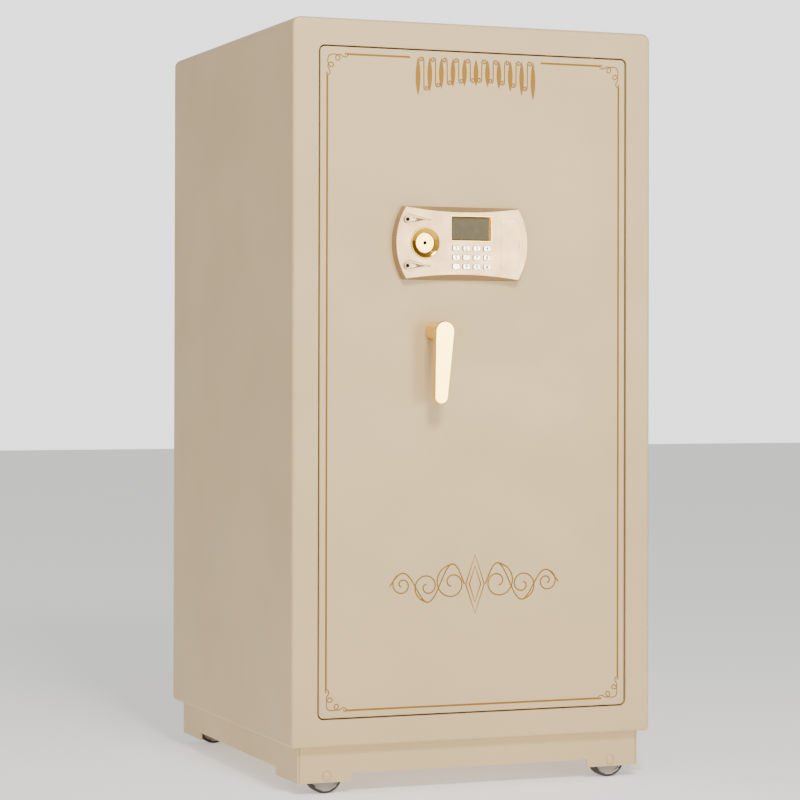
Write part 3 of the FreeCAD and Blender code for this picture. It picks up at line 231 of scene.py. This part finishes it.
def lacquered_panel(name, colour):
    """Champagne-pink metallic lacquer over a moulded panel."""
    shader = Shader(name)
    shader.set(Metallic=0.55, Coat_Weight=0.1, Coat_Roughness=0.15)
    drift = shader.noise(22.0, 2.0)
    tone = shader.blend(drift, tinted(colour, 0.95), tinted(colour, 1.04))
    fleck = shader.ramp(shader.noise(3200.0, 1.0), 0.55, 0.8, 0.0, 0.4)
    shader.colour(shader.blend(fleck, tone, tinted(colour, 1.25)))
    shader.roughness(shader.ramp(shader.noise(40.0, 2.0), 0.3, 0.7, 0.27, 0.36))
    shader.bump(shader.noise(2400.0, 1.0), 0.05, 0.0001)
    return shader.material


def printed_gold(name):
    """Screen-printed gold: slightly grainy, thin in places."""
    shader = Shader(name)
    shader.set(Metallic=0.3, Specular_IOR_Level=0.3)
    grain = shader.noise(1500.0, 3.0, 0.7)
    shader.colour(shader.blend(grain, tinted(PRINT_COLOUR, 0.78), tinted(PRINT_COLOUR, 1.3)))
    shader.roughness(shader.ramp(grain, 0.3, 0.7, 0.34, 0.55))
    shader.bump(grain, 0.1, 0.0001)
    return shader.material


def moulded(name, colour, rough=(0.35, 0.5), grain=0.15, scale=1500.0, coat=0.0):
    """Plastic or rubber with a fine moulded grain."""
    shader = Shader(name)
    shader.set(Coat_Weight=coat)
    drift = shader.noise(30.0, 3.0)
    shader.colour(shader.blend(drift, tinted(colour, 0.88), tinted(colour, 1.12)))
    shader.roughness(shader.ramp(shader.noise(80.0, 2.0), 0.3, 0.7, *rough))
    shader.bump(shader.noise(scale, 2.0), grain, 0.0002)
    return shader.material


def display_window(name):
    """Grey-olive display under a clear window."""
    shader = Shader(name)
    shader.set(Coat_Weight=0.05, Coat_Roughness=0.08, Specular_IOR_Level=0.12)
    cells = shader.ramp(shader.noise(260.0, 1.0), 0.3, 0.7, 0.0, 1.0)
    shader.colour(shader.blend(cells, tinted(DISPLAY_COLOUR, 0.94), tinted(DISPLAY_COLOUR, 1.08)))
    shader.roughness(shader.ramp(shader.noise(120.0, 2.0), 0.3, 0.7, 0.22, 0.3))
    shader.bump(shader.noise(900.0, 1.0), 0.02, 0.0001)
    return shader.material


def cast_filling(name):
    """Cast mineral filling with pits."""
    shader = Shader(name)
    grit = shader.noise(420.0, 6.0, 0.7)
    shader.colour(shader.blend(grit, tinted(FILLING_COLOUR, 0.7), tinted(FILLING_COLOUR, 1.2)))
    shader.roughness(shader.ramp(grit, 0.3, 0.7, 0.8, 0.95))
    shader.bump(grit, 0.5, 0.0006)
    return shader.material


PAINT = powder_coat("cabinet_paint", PAINT_COLOUR)
INNER_PAINT = powder_coat("inner_paint", INNER_PAINT_COLOUR, metallic=0.0, rough=(0.5, 0.62), grain=0.5)
GOLD = polished_metal("polished_gold", GOLD_COLOUR)
DEEP_GOLD = polished_metal("lock_ring_gold", DEEP_GOLD_COLOUR, rough=(0.08, 0.15))
PANEL = lacquered_panel("panel_lacquer", PANEL_COLOUR)
# darker lacquer for the panel's walls and slopes: painted shade
PANEL_PAINTED_SHADE = lacquered_panel("panel_painted_shade_lacquer", PANEL_PAINTED_SHADE_COLOUR)
PRINT = printed_gold("gold_print")
KEYS = polished_metal("key_plate", KEY_COLOUR, rough=(0.16, 0.26))
# dark key plate for the keys' sides: painted shade
KEY_PAINTED_SHADE = polished_metal("key_painted_shade_plate", KEY_PAINTED_SHADE_COLOUR, rough=(0.16, 0.26))
LEGEND = moulded("key_legend", LEGEND_COLOUR, rough=(0.5, 0.6))
DISPLAY = display_window("display_window")
ZINC = zinc("zinc_plate")
NICKEL = polished_metal("bolt_nickel", NICKEL_COLOUR, rough=(0.12, 0.24), brushed=(0.1, 1.0, 1.0), bump=0.08)
BRONZE = polished_metal("bush_bronze", BRONZE_COLOUR, rough=(0.3, 0.45))
FILLING = cast_filling("cast_filling")
BOARD = moulded("circuit_board", BOARD_COLOUR, rough=(0.3, 0.4), coat=0.3)
BLACK = moulded("black_plastic", BLACK_COLOUR)
CELL = moulded("cell_sleeve", CELL_COLOUR, rough=(0.2, 0.3), coat=0.5)
TYRE = moulded("tyre_rubber", TYRE_COLOUR, rough=(0.6, 0.75), grain=0.35, scale=900.0)
HUB = moulded("hub_plastic", HUB_COLOUR, rough=(0.3, 0.42), coat=0.2)

SLOT_FINISH = {
    "cabinet_paint": PAINT,
    "door_paint": PAINT,
    "inner_paint": INNER_PAINT,
    "filling": FILLING,
    "bare_steel": ZINC,
    "bolt_steel": NICKEL,
    "bronze": BRONZE,
    "gold_metal": GOLD,
    "rose_panel": PANEL,
    "key_plastic": KEYS,
    "display_glass": DISPLAY,
    "board": BOARD,
    "black_plastic": BLACK,
    "cell_sleeve": CELL,
    "wheel_rubber": TYRE,
}
SLOT_OF = {part["node"]: part["material_slot"] for part in frame["record"]["subparts"]}
BODY_OF = {node: body for body, nodes in frame["record"]["behaviour"]["bodies"].items() for node in nodes}


def paint_all_nodes():
    for name, node in frame["nodes"].items():
        node.data.materials.clear()
        node.data.materials.append(SLOT_FINISH[SLOT_OF[name]])


# ================================================================ meshes
def new_piece(name, mesh, body, material=None):
    piece = bpy.data.objects.new(name, mesh)
    bpy.context.scene.collection.objects.link(piece)
    if material:
        mesh.materials.clear()
        mesh.materials.append(material)
    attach(piece, body)
    return piece


def weighted_normals(mesh, angle):
    """Shade round faces smooth and keep flats flat.

    Each corner leans towards the largest of the faces that meet there within the angle.
    """
    limit = math.cos(math.radians(angle))
    around = [[] for _ in mesh.vertices]
    for face in mesh.polygons:
        for vertex in face.vertices:
            around[vertex].append(face.index)
    normals = []
    for face in mesh.polygons:
        for vertex in face.vertices:
            total = Vector((0.0, 0.0, 0.0))
            for index in around[vertex]:
                other = mesh.polygons[index]
                if other.normal.dot(face.normal) > limit:
                    total += other.normal * other.area
            normals.append(total.normalized())
    mesh.normals_split_custom_set(normals)


def smooth_copy(node, material=None, angle=32.0):
    """The node's own shape with its points joined and its round faces shaded smooth."""
    source = frame["nodes"][node].data
    mesh = source.copy()
    mesh.name = node + "_finished"
    shape = bmesh.new()
    shape.from_mesh(mesh)
    bmesh.ops.remove_doubles(shape, verts=shape.verts, dist=JOIN_DISTANCE)
    shape.to_mesh(mesh)
    shape.free()
    mesh.shade_smooth()
    weighted_normals(mesh, angle)
    piece = new_piece(node + "_finished", mesh, BODY_OF[node], material)
    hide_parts(node)
    return piece


# ---------------------------------------------------------------- printed lines
def line_tree():
    """Flat printed line along a curve that lies on the door's face."""
    tree = bpy.data.node_groups.new("printed_line", "GeometryNodeTree")
    face = tree.interface
    face.new_socket("Geometry", in_out="INPUT", socket_type="NodeSocketGeometry")
    face.new_socket("Width", in_out="INPUT", socket_type="NodeSocketFloat")
    face.new_socket("Thickness", in_out="INPUT", socket_type="NodeSocketFloat")
    face.new_socket("Material", in_out="INPUT", socket_type="NodeSocketMaterial")
    face.new_socket("Geometry", in_out="OUTPUT", socket_type="NodeSocketGeometry")
    nodes, links = tree.nodes, tree.links
    entry = nodes.new("NodeGroupInput")
    normal = nodes.new("GeometryNodeSetCurveNormal")
    normal.mode = "FREE"
    normal.inputs["Normal"].default_value = (0.0, 1.0, 0.0)
    profile = nodes.new("GeometryNodeCurvePrimitiveQuadrilateral")
    sweep = nodes.new("GeometryNodeCurveToMesh")
    sweep.inputs["Fill Caps"].default_value = True
    realize = nodes.new("GeometryNodeRealizeInstances")
    coat = nodes.new("GeometryNodeSetMaterial")
    leave = nodes.new("NodeGroupOutput")
    links.new(entry.outputs["Geometry"], normal.inputs["Curve"])
    links.new(entry.outputs["Width"], profile.inputs["Height"])
    links.new(entry.outputs["Thickness"], profile.inputs["Width"])
    links.new(normal.outputs["Curve"], sweep.inputs["Curve"])
    links.new(profile.outputs["Curve"], sweep.inputs["Profile Curve"])
    links.new(sweep.outputs["Mesh"], realize.inputs["Geometry"])
    links.new(realize.outputs["Geometry"], coat.inputs["Geometry"])
    links.new(entry.outputs["Material"], coat.inputs["Material"])
    links.new(coat.outputs["Geometry"], leave.inputs["Geometry"])
    return tree


LINE_TREE = line_tree()


def bake(name, source, tree, values):
    """Run a node tree on an object and return the result as a plain mesh."""
    modifier = source.modifiers.new("make", "NODES")
    modifier.node_group = tree
    for item in tree.interface.items_tree:
        if item.in_out == "INPUT" and item.name in values:
            modifier[item.identifier] = values[item.name]
    graph = bpy.context.evaluated_depsgraph_get()
    mesh = bpy.data.meshes.new_from_object(source.evaluated_get(graph))
    mesh.name = name
    source.modifiers.remove(modifier)
    bpy.data.objects.remove(source)
    return mesh


def print_lines(name, splines, width):
    """One printed piece on the door from (points, smooth) splines in the plane of its face."""
    curve = bpy.data.curves.new(name + "_path", "CURVE")
    curve.dimensions = "3D"
    level = FACE_Y - PRINT_LIFT - PRINT_THICKNESS / 2
    for points, smooth in splines:
        spline = curve.splines.new("NURBS" if smooth else "POLY")
        spline.points.add(len(points) - 1)
        for i, (x, z) in enumerate(points):
            rise = CROSSING_LIFT * i / (len(points) - 1) if smooth else 0.0
            spline.points[i].co = (x, level - rise, z, 1.0)
        if smooth:
            spline.order_u = 4
            spline.use_endpoint_u = True
            spline.resolution_u = 8
    source = bpy.data.objects.new(name + "_path", curve)
    bpy.context.scene.collection.objects.link(source)
    mesh = bake(name, source, LINE_TREE, {"Width": width, "Thickness": PRINT_THICKNESS, "Material": PRINT})
    return new_piece(name, mesh, "door")


def border_lines():
    left, right = DOOR_LOW.x + BORDER_INSET, DOOR_HIGH.x - BORDER_INSET
    low, high = DOOR_LOW.z + BORDER_INSET, DOOR_HIGH.z - BORDER_INSET
    gap = CREST_HALF_WIDTH + CREST_GAP
    runs = [
        ((left, low + SCROLL_SPAN), (left, high - SCROLL_SPAN)),
        ((right, low + SCROLL_SPAN), (right, high - SCROLL_SPAN)),
        ((left + SCROLL_SPAN, low), (right - SCROLL_SPAN, low)),
        ((left + SCROLL_SPAN, high), (DOOR_CENTRE_X - gap, high)),
        ((DOOR_CENTRE_X + gap, high), (right - SCROLL_SPAN, high)),
    ]
    return print_lines("door_border_print", [(run, False) for run in runs], BORDER_WIDTH)


# Half of a corner flourish in millimetres, from the end of the upright line to the diagonal.
FLOURISH_HALF = (
    (1.6, 26.2), (-1.0, 25.4), (-1.8, 28.6), (2.0, 30.2), (4.6, 26.8), (3.6, 22.6), (1.2, 20.4),
    (0.4, 15.6), (3.2, 12.0), (8.4, 12.2), (9.8, 16.6), (6.0, 19.4), (1.8, 16.2), (0.2, 9.8), (1.4, 3.8),
)


def corner_flourishes():
    half = [(u * MM, v * MM) for u, v in FLOURISH_HALF]
    whole = half + [(v, u) for u, v in reversed(half)]
    splines = []
    for edge_x, way_x in ((DOOR_LOW.x, 1), (DOOR_HIGH.x, -1)):
        for edge_z, way_z in ((DOOR_LOW.z, 1), (DOOR_HIGH.z, -1)):
            x0 = edge_x + way_x * BORDER_INSET
            z0 = edge_z + way_z * BORDER_INSET
            splines.append(([(x0 + way_x * u, z0 + way_z * v) for u, v in whole], True))
    return print_lines("corner_flourish_print", splines, SCROLL_WIDTH)


def spiral(x, z, radius, way_x, way_z, turns=1.45, keep=0.16, steps=22):
    """Spiral that leaves (x, z) along X and winds inward, towards way_z."""
    points = []
    for i in range(steps + 1):
        t = i / steps
        r = radius * (1 - (1 - keep) * t)
        angle = 2 * math.pi * turns * t
        points.append((x + way_x * r * math.sin(angle), z + way_z * (radius - r * math.cos(angle))))
    return points


def vine(half_width, waves, start, middle, swing):
    """Scrolling stem with a curl in each bend, mirrored to both sides of the door's centre.

    middle is the stem's height; swing gives its swing at a share of the half width.
    """
    splines = []
    span = half_width - start
    count = 12 * waves
    for way in (1, -1):
        stem = []
        for i in range(count + 1):
            share = i / count
            x = start + span * share
            z = middle + swing(share) * math.sin(math.pi * waves * share)
            stem.append((DOOR_CENTRE_X + way * x, z))
        splines.append((stem, True))
        for wave in range(waves):
            share = (wave + 0.5) / waves
            side = 1 if wave % 2 == 0 else -1
            x = start + span * share
            crest = middle + side * swing(share)
            radius = swing(share) * CURL_SHARE
            curl = spiral(DOOR_CENTRE_X + way * x, crest, radius, way, -side)
            splines.append((curl, True))
    return splines


def lozenge(x, z, half_x, half_z):
    corners = [(x - half_x, z), (x, z + half_z), (x + half_x, z), (x, z - half_z)]
    return (corners + corners[:1], False)


def leaf(x, top, length, half_width, steps=12):
    """Slender pointed leaf hanging from (x, top), as a closed outline."""
    side = []
    for i in range(steps + 1):
        share = i / steps
        side.append((half_width * math.sin(math.pi * share) ** 0.8, top - length * share))
    right = [(x + reach, z) for reach, z in side]
    left = [(x - reach, z) for reach, z in reversed(side[1:-1])]
    return right + left


def s_scroll(x, top, length, radius, way):
    """Upright S between two curls, the upper one turning towards way."""
    upper = spiral(x, top - radius, radius, way, 1, turns=1.2, keep=0.25, steps=18)
    turned = [(x + (b - top + radius) * way, top - radius + (a - x) * way) for a, b in upper]
    lower = [(2 * x - a, 2 * top - length - b) for a, b in turned]
    return (list(reversed(turned)) + lower, True)


def flat_pieces(name, outlines, material):
    """Thin printed plates on the door's face from closed outlines."""
    shape = bmesh.new()
    back = FACE_Y - PRINT_LIFT
    front = back - PRINT_THICKNESS
    for outline in outlines:
        near = [shape.verts.new((x, front, z)) for x, z in outline]
        far = [shape.verts.new((x, back, z)) for x, z in outline]
        shape.faces.new(near)
        shape.faces.new(list(reversed(far)))
        for i, corner in enumerate(near):
            j = (i + 1) % len(near)
            shape.faces.new((corner, far[i], far[j], near[j]))
    bmesh.ops.recalc_face_normals(shape, faces=shape.faces)
    mesh = bpy.data.meshes.new(name)
    shape.to_mesh(mesh)
    shape.free()
    return new_piece(name, mesh, "door", material)


def crest_ornament():
    """Frieze of hanging leaves and scrolls in the gap of the top line, longer towards its two ends."""
    top = DOOR_HIGH.z - BORDER_INSET + BORDER_WIDTH / 2
    pitch = CREST_HALF_WIDTH * 2 / CREST_LEAVES
    leaves, scrolls = [], []
    for i in range(CREST_LEAVES):
        offset = (i - (CREST_LEAVES - 1) / 2) * pitch
        towards_end = (offset / CREST_HALF_WIDTH) ** 2
        length = CREST_MIDDLE_LENGTH + (CREST_END_LENGTH - CREST_MIDDLE_LENGTH) * towards_end
        leaves.append(leaf(DOOR_CENTRE_X + offset, top, length, pitch * LEAF_HALF_WIDTH_SHARE))
        if i + 1 < CREST_LEAVES:
            way = 1 if offset + pitch / 2 > 0 else -1
            between = DOOR_CENTRE_X + offset + pitch / 2
            radius = pitch * SCROLL_RADIUS_SHARE
            scrolls.append(s_scroll(between, top, length * SCROLL_LENGTH_SHARE, radius, way))
    flat_pieces("crest_leaf_print", leaves, PRINT)
    return print_lines("crest_scroll_print", scrolls, CREST_LINE_WIDTH)


def emblem_ornament():
    """Plain symmetrical scrollwork low on the door."""
    centre = DOOR_LOW.z + EMBLEM_RISE

    def swing(share):
        return EMBLEM_SWING + (EMBLEM_END_SWING - EMBLEM_SWING) * share

    splines = vine(EMBLEM_HALF_WIDTH, EMBLEM_WAVES, EMBLEM_START, centre, swing)
    for scale in (1.0, LOZENGE_INNER_SHARE):
        half_x = LOZENGE_HALF_WIDTH * scale
        half_z = LOZENGE_HALF_HEIGHT * scale
        splines.append(lozenge(DOOR_CENTRE_X, centre, half_x, half_z))
    return print_lines("emblem_scroll_print", splines, EMBLEM_LINE_WIDTH)


# ---------------------------------------------------------------- key legends
LEGENDS = (("1", "2", "3", "4"), ("5", "6", "7", "8"), ("*", "9", "0", "#"))
LEGEND_HEIGHT = 7.0 * MM
LEGEND_BOLDNESS = 0.30 * MM
LEGEND_DEPTH = 0.04 * MM


def key_legends():
    for row, signs in enumerate(LEGENDS):
        for column, sign in enumerate(signs):
            node = f"key_{row + 1}_{column + 1}"
            low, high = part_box(node)
            words = bpy.data.curves.new("legend_words", "FONT")
            words.body = sign
            words.size = LEGEND_HEIGHT
            words.extrude = LEGEND_DEPTH
            words.offset = LEGEND_BOLDNESS
            words.align_x = "CENTER"
            words.align_y = "CENTER"
            holder = bpy.data.objects.new("legend_words", words)
            bpy.context.scene.collection.objects.link(holder)
            graph = bpy.context.evaluated_depsgraph_get()
            mesh = bpy.data.meshes.new_from_object(holder.evaluated_get(graph))
            bpy.data.objects.remove(holder)
            centre_x = (low.x + high.x) / 2
            centre_z = (low.z + high.z) / 2
            corners = [vertex.co for vertex in mesh.vertices]
            shift_x = (min(c.x for c in corners) + max(c.x for c in corners)) / 2
            shift_y = (min(c.y for c in corners) + max(c.y for c in corners)) / 2
            mesh.transform(Matrix.Translation((-shift_x, -shift_y, 0)))
            mesh.transform(Matrix.Rotation(math.radians(90), 4, "X"))
            mesh.transform(Matrix.Translation((centre_x, low.y - MARK_LIFT, centre_z)))
            new_piece(f"legend_{row + 1}_{column + 1}", mesh, node, LEGEND)


# ---------------------------------------------------------------- key lock face
def tick_tree():
    """Short bars set round a circle in the plane of the lock's face."""
    tree = bpy.data.node_groups.new("tick_ring", "GeometryNodeTree")
    face = tree.interface
    face.new_socket("Geometry", in_out="INPUT", socket_type="NodeSocketGeometry")
    for name in ("Radius", "Length", "Width", "Thickness"):
        face.new_socket(name, in_out="INPUT", socket_type="NodeSocketFloat")
    face.new_socket("Count", in_out="INPUT", socket_type="NodeSocketInt")
    face.new_socket("Material", in_out="INPUT", socket_type="NodeSocketMaterial")
    face.new_socket("Geometry", in_out="OUTPUT", socket_type="NodeSocketGeometry")
    nodes, links = tree.nodes, tree.links
    entry = nodes.new("NodeGroupInput")
    circle = nodes.new("GeometryNodeMeshCircle")
    bar = nodes.new("GeometryNodeMeshCube")
    size = nodes.new("ShaderNodeCombineXYZ")
    place = nodes.new("GeometryNodeInputPosition")
    turn = nodes.new("FunctionNodeAlignRotationToVector")
    turn.axis = "X"
    scatter = nodes.new("GeometryNodeInstanceOnPoints")
    realize = nodes.new("GeometryNodeRealizeInstances")
    coat = nodes.new("GeometryNodeSetMaterial")
    leave = nodes.new("NodeGroupOutput")
    links.new(entry.outputs["Count"], circle.inputs["Vertices"])
    links.new(entry.outputs["Radius"], circle.inputs["Radius"])
    links.new(entry.outputs["Length"], size.inputs["X"])
    links.new(entry.outputs["Width"], size.inputs["Y"])
    links.new(entry.outputs["Thickness"], size.inputs["Z"])
    links.new(size.outputs["Vector"], bar.inputs["Size"])
    links.new(place.outputs["Position"], turn.inputs["Vector"])
    links.new(circle.outputs["Mesh"], scatter.inputs["Points"])
    links.new(bar.outputs["Mesh"], scatter.inputs["Instance"])
    links.new(turn.outputs["Rotation"], scatter.inputs["Rotation"])
    links.new(scatter.outputs["Instances"], realize.inputs["Geometry"])
    links.new(realize.outputs["Geometry"], coat.inputs["Geometry"])
    links.new(entry.outputs["Material"], coat.inputs["Material"])
    links.new(coat.outputs["Geometry"], leave.inputs["Geometry"])
    return tree


def lock_ticks():
    low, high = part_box("lock_plug")
    centre = ((low.x + high.x) / 2, low.y - MARK_LIFT, (low.z + high.z) / 2)
    tree = tick_tree()
    for name, radius, length, count in LOCK_MARKS:
        source = bpy.data.objects.new("ticks", bpy.data.meshes.new("ticks"))
        bpy.context.scene.collection.objects.link(source)
        values = {
            "Radius": radius * MM, "Length": length * MM, "Width": MARK_WIDTH, "Thickness": MARK_THICKNESS,
            "Count": count, "Material": LEGEND,
        }
        mesh = bake(name, source, tree, values)
        mesh.transform(Matrix.Translation(centre) @ Matrix.Rotation(math.radians(90), 4, "X"))
        new_piece(name, mesh, "lock_plug")


# ---------------------------------------------------------------- pieces with two finishes
def two_finishes(node, outer, inner, radius):
    """Give the faces within a radius of the piece's own axis along Y a finish of their own."""
    piece = smooth_copy(node, outer)
    piece.data.materials.append(inner)
    low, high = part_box(node)
    centre_x, centre_z = (low.x + high.x) / 2, (low.z + high.z) / 2
    corners = piece.data.vertices
    for face in piece.data.polygons:
        reach = max(math.hypot(corners[v].co.x - centre_x, corners[v].co.z - centre_z) for v in face.vertices)
        if reach < radius:
            face.material_index = 1


def painted_shade_sides(node, front, side, level):
    """Paint shade on the walls and slopes: they get side, a darker copy of the front finish; a face counts as
    front when its normal reaches the level.
    """
    piece = smooth_copy(node, front)
    piece.data.materials.append(side)
    # faces turned away from the front get the darker finish: painted shade
    for face in piece.data.polygons:
        if -face.normal.y < level:
            face.material_index = 1


# ================================================================ stage, light, camera
FLOOR_HALF_SIZE = 14.0
FLOOR_GLOW = 0.5
BACKDROP_LIGHT = 2.2
KEY_LAMP_COLOUR = (1.0, 0.98, 0.95)
FRONT_LAMP_COLOUR = (1.0, 0.98, 0.94)
# Name, place, size in metres, power in watts and colour.
LAMPS = (
    ("key", (-0.3, -2.2, 2.2), 0.6, 70.0, KEY_LAMP_COLOUR),
    ("front", (1.4, -3.6, 0.75), 1.0, 36.0, FRONT_LAMP_COLOUR),
)
CAMERA_OFFSET = Vector((-1.1595, -3.3872, 0.5239))     # from the cabinet's front lower left corner
CAMERA_TURN = (90.43, -0.126, -21.244)                 # degrees
CAMERA_LENS = 118.19
CAMERA_SENSOR = 36.0
CAMERA_SHIFT_Y = -0.0688


def studio():
    floor_mesh = bpy.data.meshes.new("studio_floor")
    size = FLOOR_HALF_SIZE
    corners = [(-size, -size, 0), (size, -size, 0), (size, size, 0), (-size, size, 0)]
    floor_mesh.from_pydata(corners, [], [(0, 1, 2, 3)])
    floor = bpy.data.objects.new("studio_floor", floor_mesh)
    bpy.context.scene.collection.objects.link(floor)
    shader = Shader("studio_floor")
    shader.set(Roughness=0.9)
    tone = shader.blend(shader.noise(2.0, 2.0), (0.94, 0.94, 0.94), (0.96, 0.96, 0.96))
    shader.colour(tone)
    shader.link(tone, shader.main.inputs["Emission Color"])
    shader.set(Emission_Strength=FLOOR_GLOW)
    floor_mesh.materials.append(shader.material)

    studio_world()
    middle = (BODY_LOW + BODY_HIGH) / 2
    for name, place, size, power, colour in LAMPS:
        lamp = bpy.data.lights.new(name, "AREA")
        lamp.energy = power
        lamp.size = size
        lamp.color = colour
        holder = bpy.data.objects.new(name, lamp)
        bpy.context.scene.collection.objects.link(holder)
        holder.location = place
        holder.rotation_euler = (middle - Vector(place)).to_track_quat("-Z", "Y").to_euler()


def studio_world():
    """White room, darker to the right and overhead, so that metal has something to reflect."""
    world = bpy.data.worlds.new("studio")
    world.use_nodes = True
    tree = world.node_tree
    tree.nodes.clear()

    def node(kind, **values):
        made = tree.nodes.new(kind)
        for key, value in values.items():
            made.inputs[key.replace("_", " ")].default_value = value
        return made

    place = node("ShaderNodeTexCoord")
    parts = node("ShaderNodeSeparateXYZ")
    tree.links.new(place.outputs["Generated"], parts.inputs["Vector"])
    across = node("ShaderNodeMapRange", From_Min=-0.1, From_Max=0.9, To_Min=0.92, To_Max=0.22)
    up = node("ShaderNodeMapRange", From_Min=0.0, From_Max=0.8, To_Min=1.1, To_Max=0.5)
    tree.links.new(parts.outputs["X"], across.inputs["Value"])
    tree.links.new(parts.outputs["Z"], up.inputs["Value"])
    product = node("ShaderNodeMath")
    product.operation = "MULTIPLY"
    tree.links.new(across.outputs["Result"], product.inputs[0])
    tree.links.new(up.outputs["Result"], product.inputs[1])
    room = node("ShaderNodeBackground", Color=(1.0, 0.985, 0.96, 1.0))
    tree.links.new(product.outputs["Value"], room.inputs["Strength"])
    backdrop = node("ShaderNodeBackground", Color=(1.0, 1.0, 1.0, 1.0), Strength=BACKDROP_LIGHT)
    path = node("ShaderNodeLightPath")
    mixed = node("ShaderNodeMixShader")
    out = node("ShaderNodeOutputWorld")
    tree.links.new(path.outputs["Is Camera Ray"], mixed.inputs["Fac"])
    tree.links.new(room.outputs["Background"], mixed.inputs[1])
    tree.links.new(backdrop.outputs["Background"], mixed.inputs[2])
    tree.links.new(mixed.outputs["Shader"], out.inputs["Surface"])
    bpy.context.scene.world = world


def camera():
    lens = bpy.data.cameras.new("camera")
    lens.lens = CAMERA_LENS
    lens.sensor_width = CAMERA_SENSOR
    lens.shift_y = CAMERA_SHIFT_Y
    holder = bpy.data.objects.new("camera", lens)
    bpy.context.scene.collection.objects.link(holder)
    body_front_left = Vector((BODY_LOW.x, FACE_Y, BODY_LOW.z))
    holder.location = body_front_left + CAMERA_OFFSET
    holder.rotation_euler = [math.radians(turn) for turn in CAMERA_TURN]
    bpy.context.scene.camera = holder


# ================================================================ build
paint_all_nodes()
for node in (
    "outer_wrap", "door_plate", "handle_lever",
    "display_bezel", "axle_bolts", "lock_bolts", "dead_bolts", "hinge_pins", "cover_screws",
    "upper_rod", "lower_rod",
):
    smooth_copy(node, SLOT_FINISH[SLOT_OF[node]])
# the walls and slopes of the panel and the battery cover get painted shade
for node in ("panel_fascia", "battery_cover"):
    painted_shade_sides(node, PANEL, PANEL_PAINTED_SHADE, PANEL_SHADE_LEVEL)
smooth_copy("lock_ring", DEEP_GOLD)
smooth_copy("panel_screws", BLACK)
two_finishes("lock_plug", GOLD, BLACK, KEYHOLE_RADIUS)
# the keys' sides get painted shade, a dark outline round each key
for node in sorted(name for name in frame["nodes"] if name.startswith("key_")):
    painted_shade_sides(node, KEYS, KEY_PAINTED_SHADE, KEY_SHADE_LEVEL)
for node in sorted(name for name in frame["nodes"] if name.startswith("wheel_") and name != "wheel_brackets"):
    two_finishes(node, TYRE, HUB, HUB_RADIUS)
border_lines()
corner_flourishes()
crest_ornament()
emblem_ornament()
key_legends()
lock_ticks()
studio()
camera()
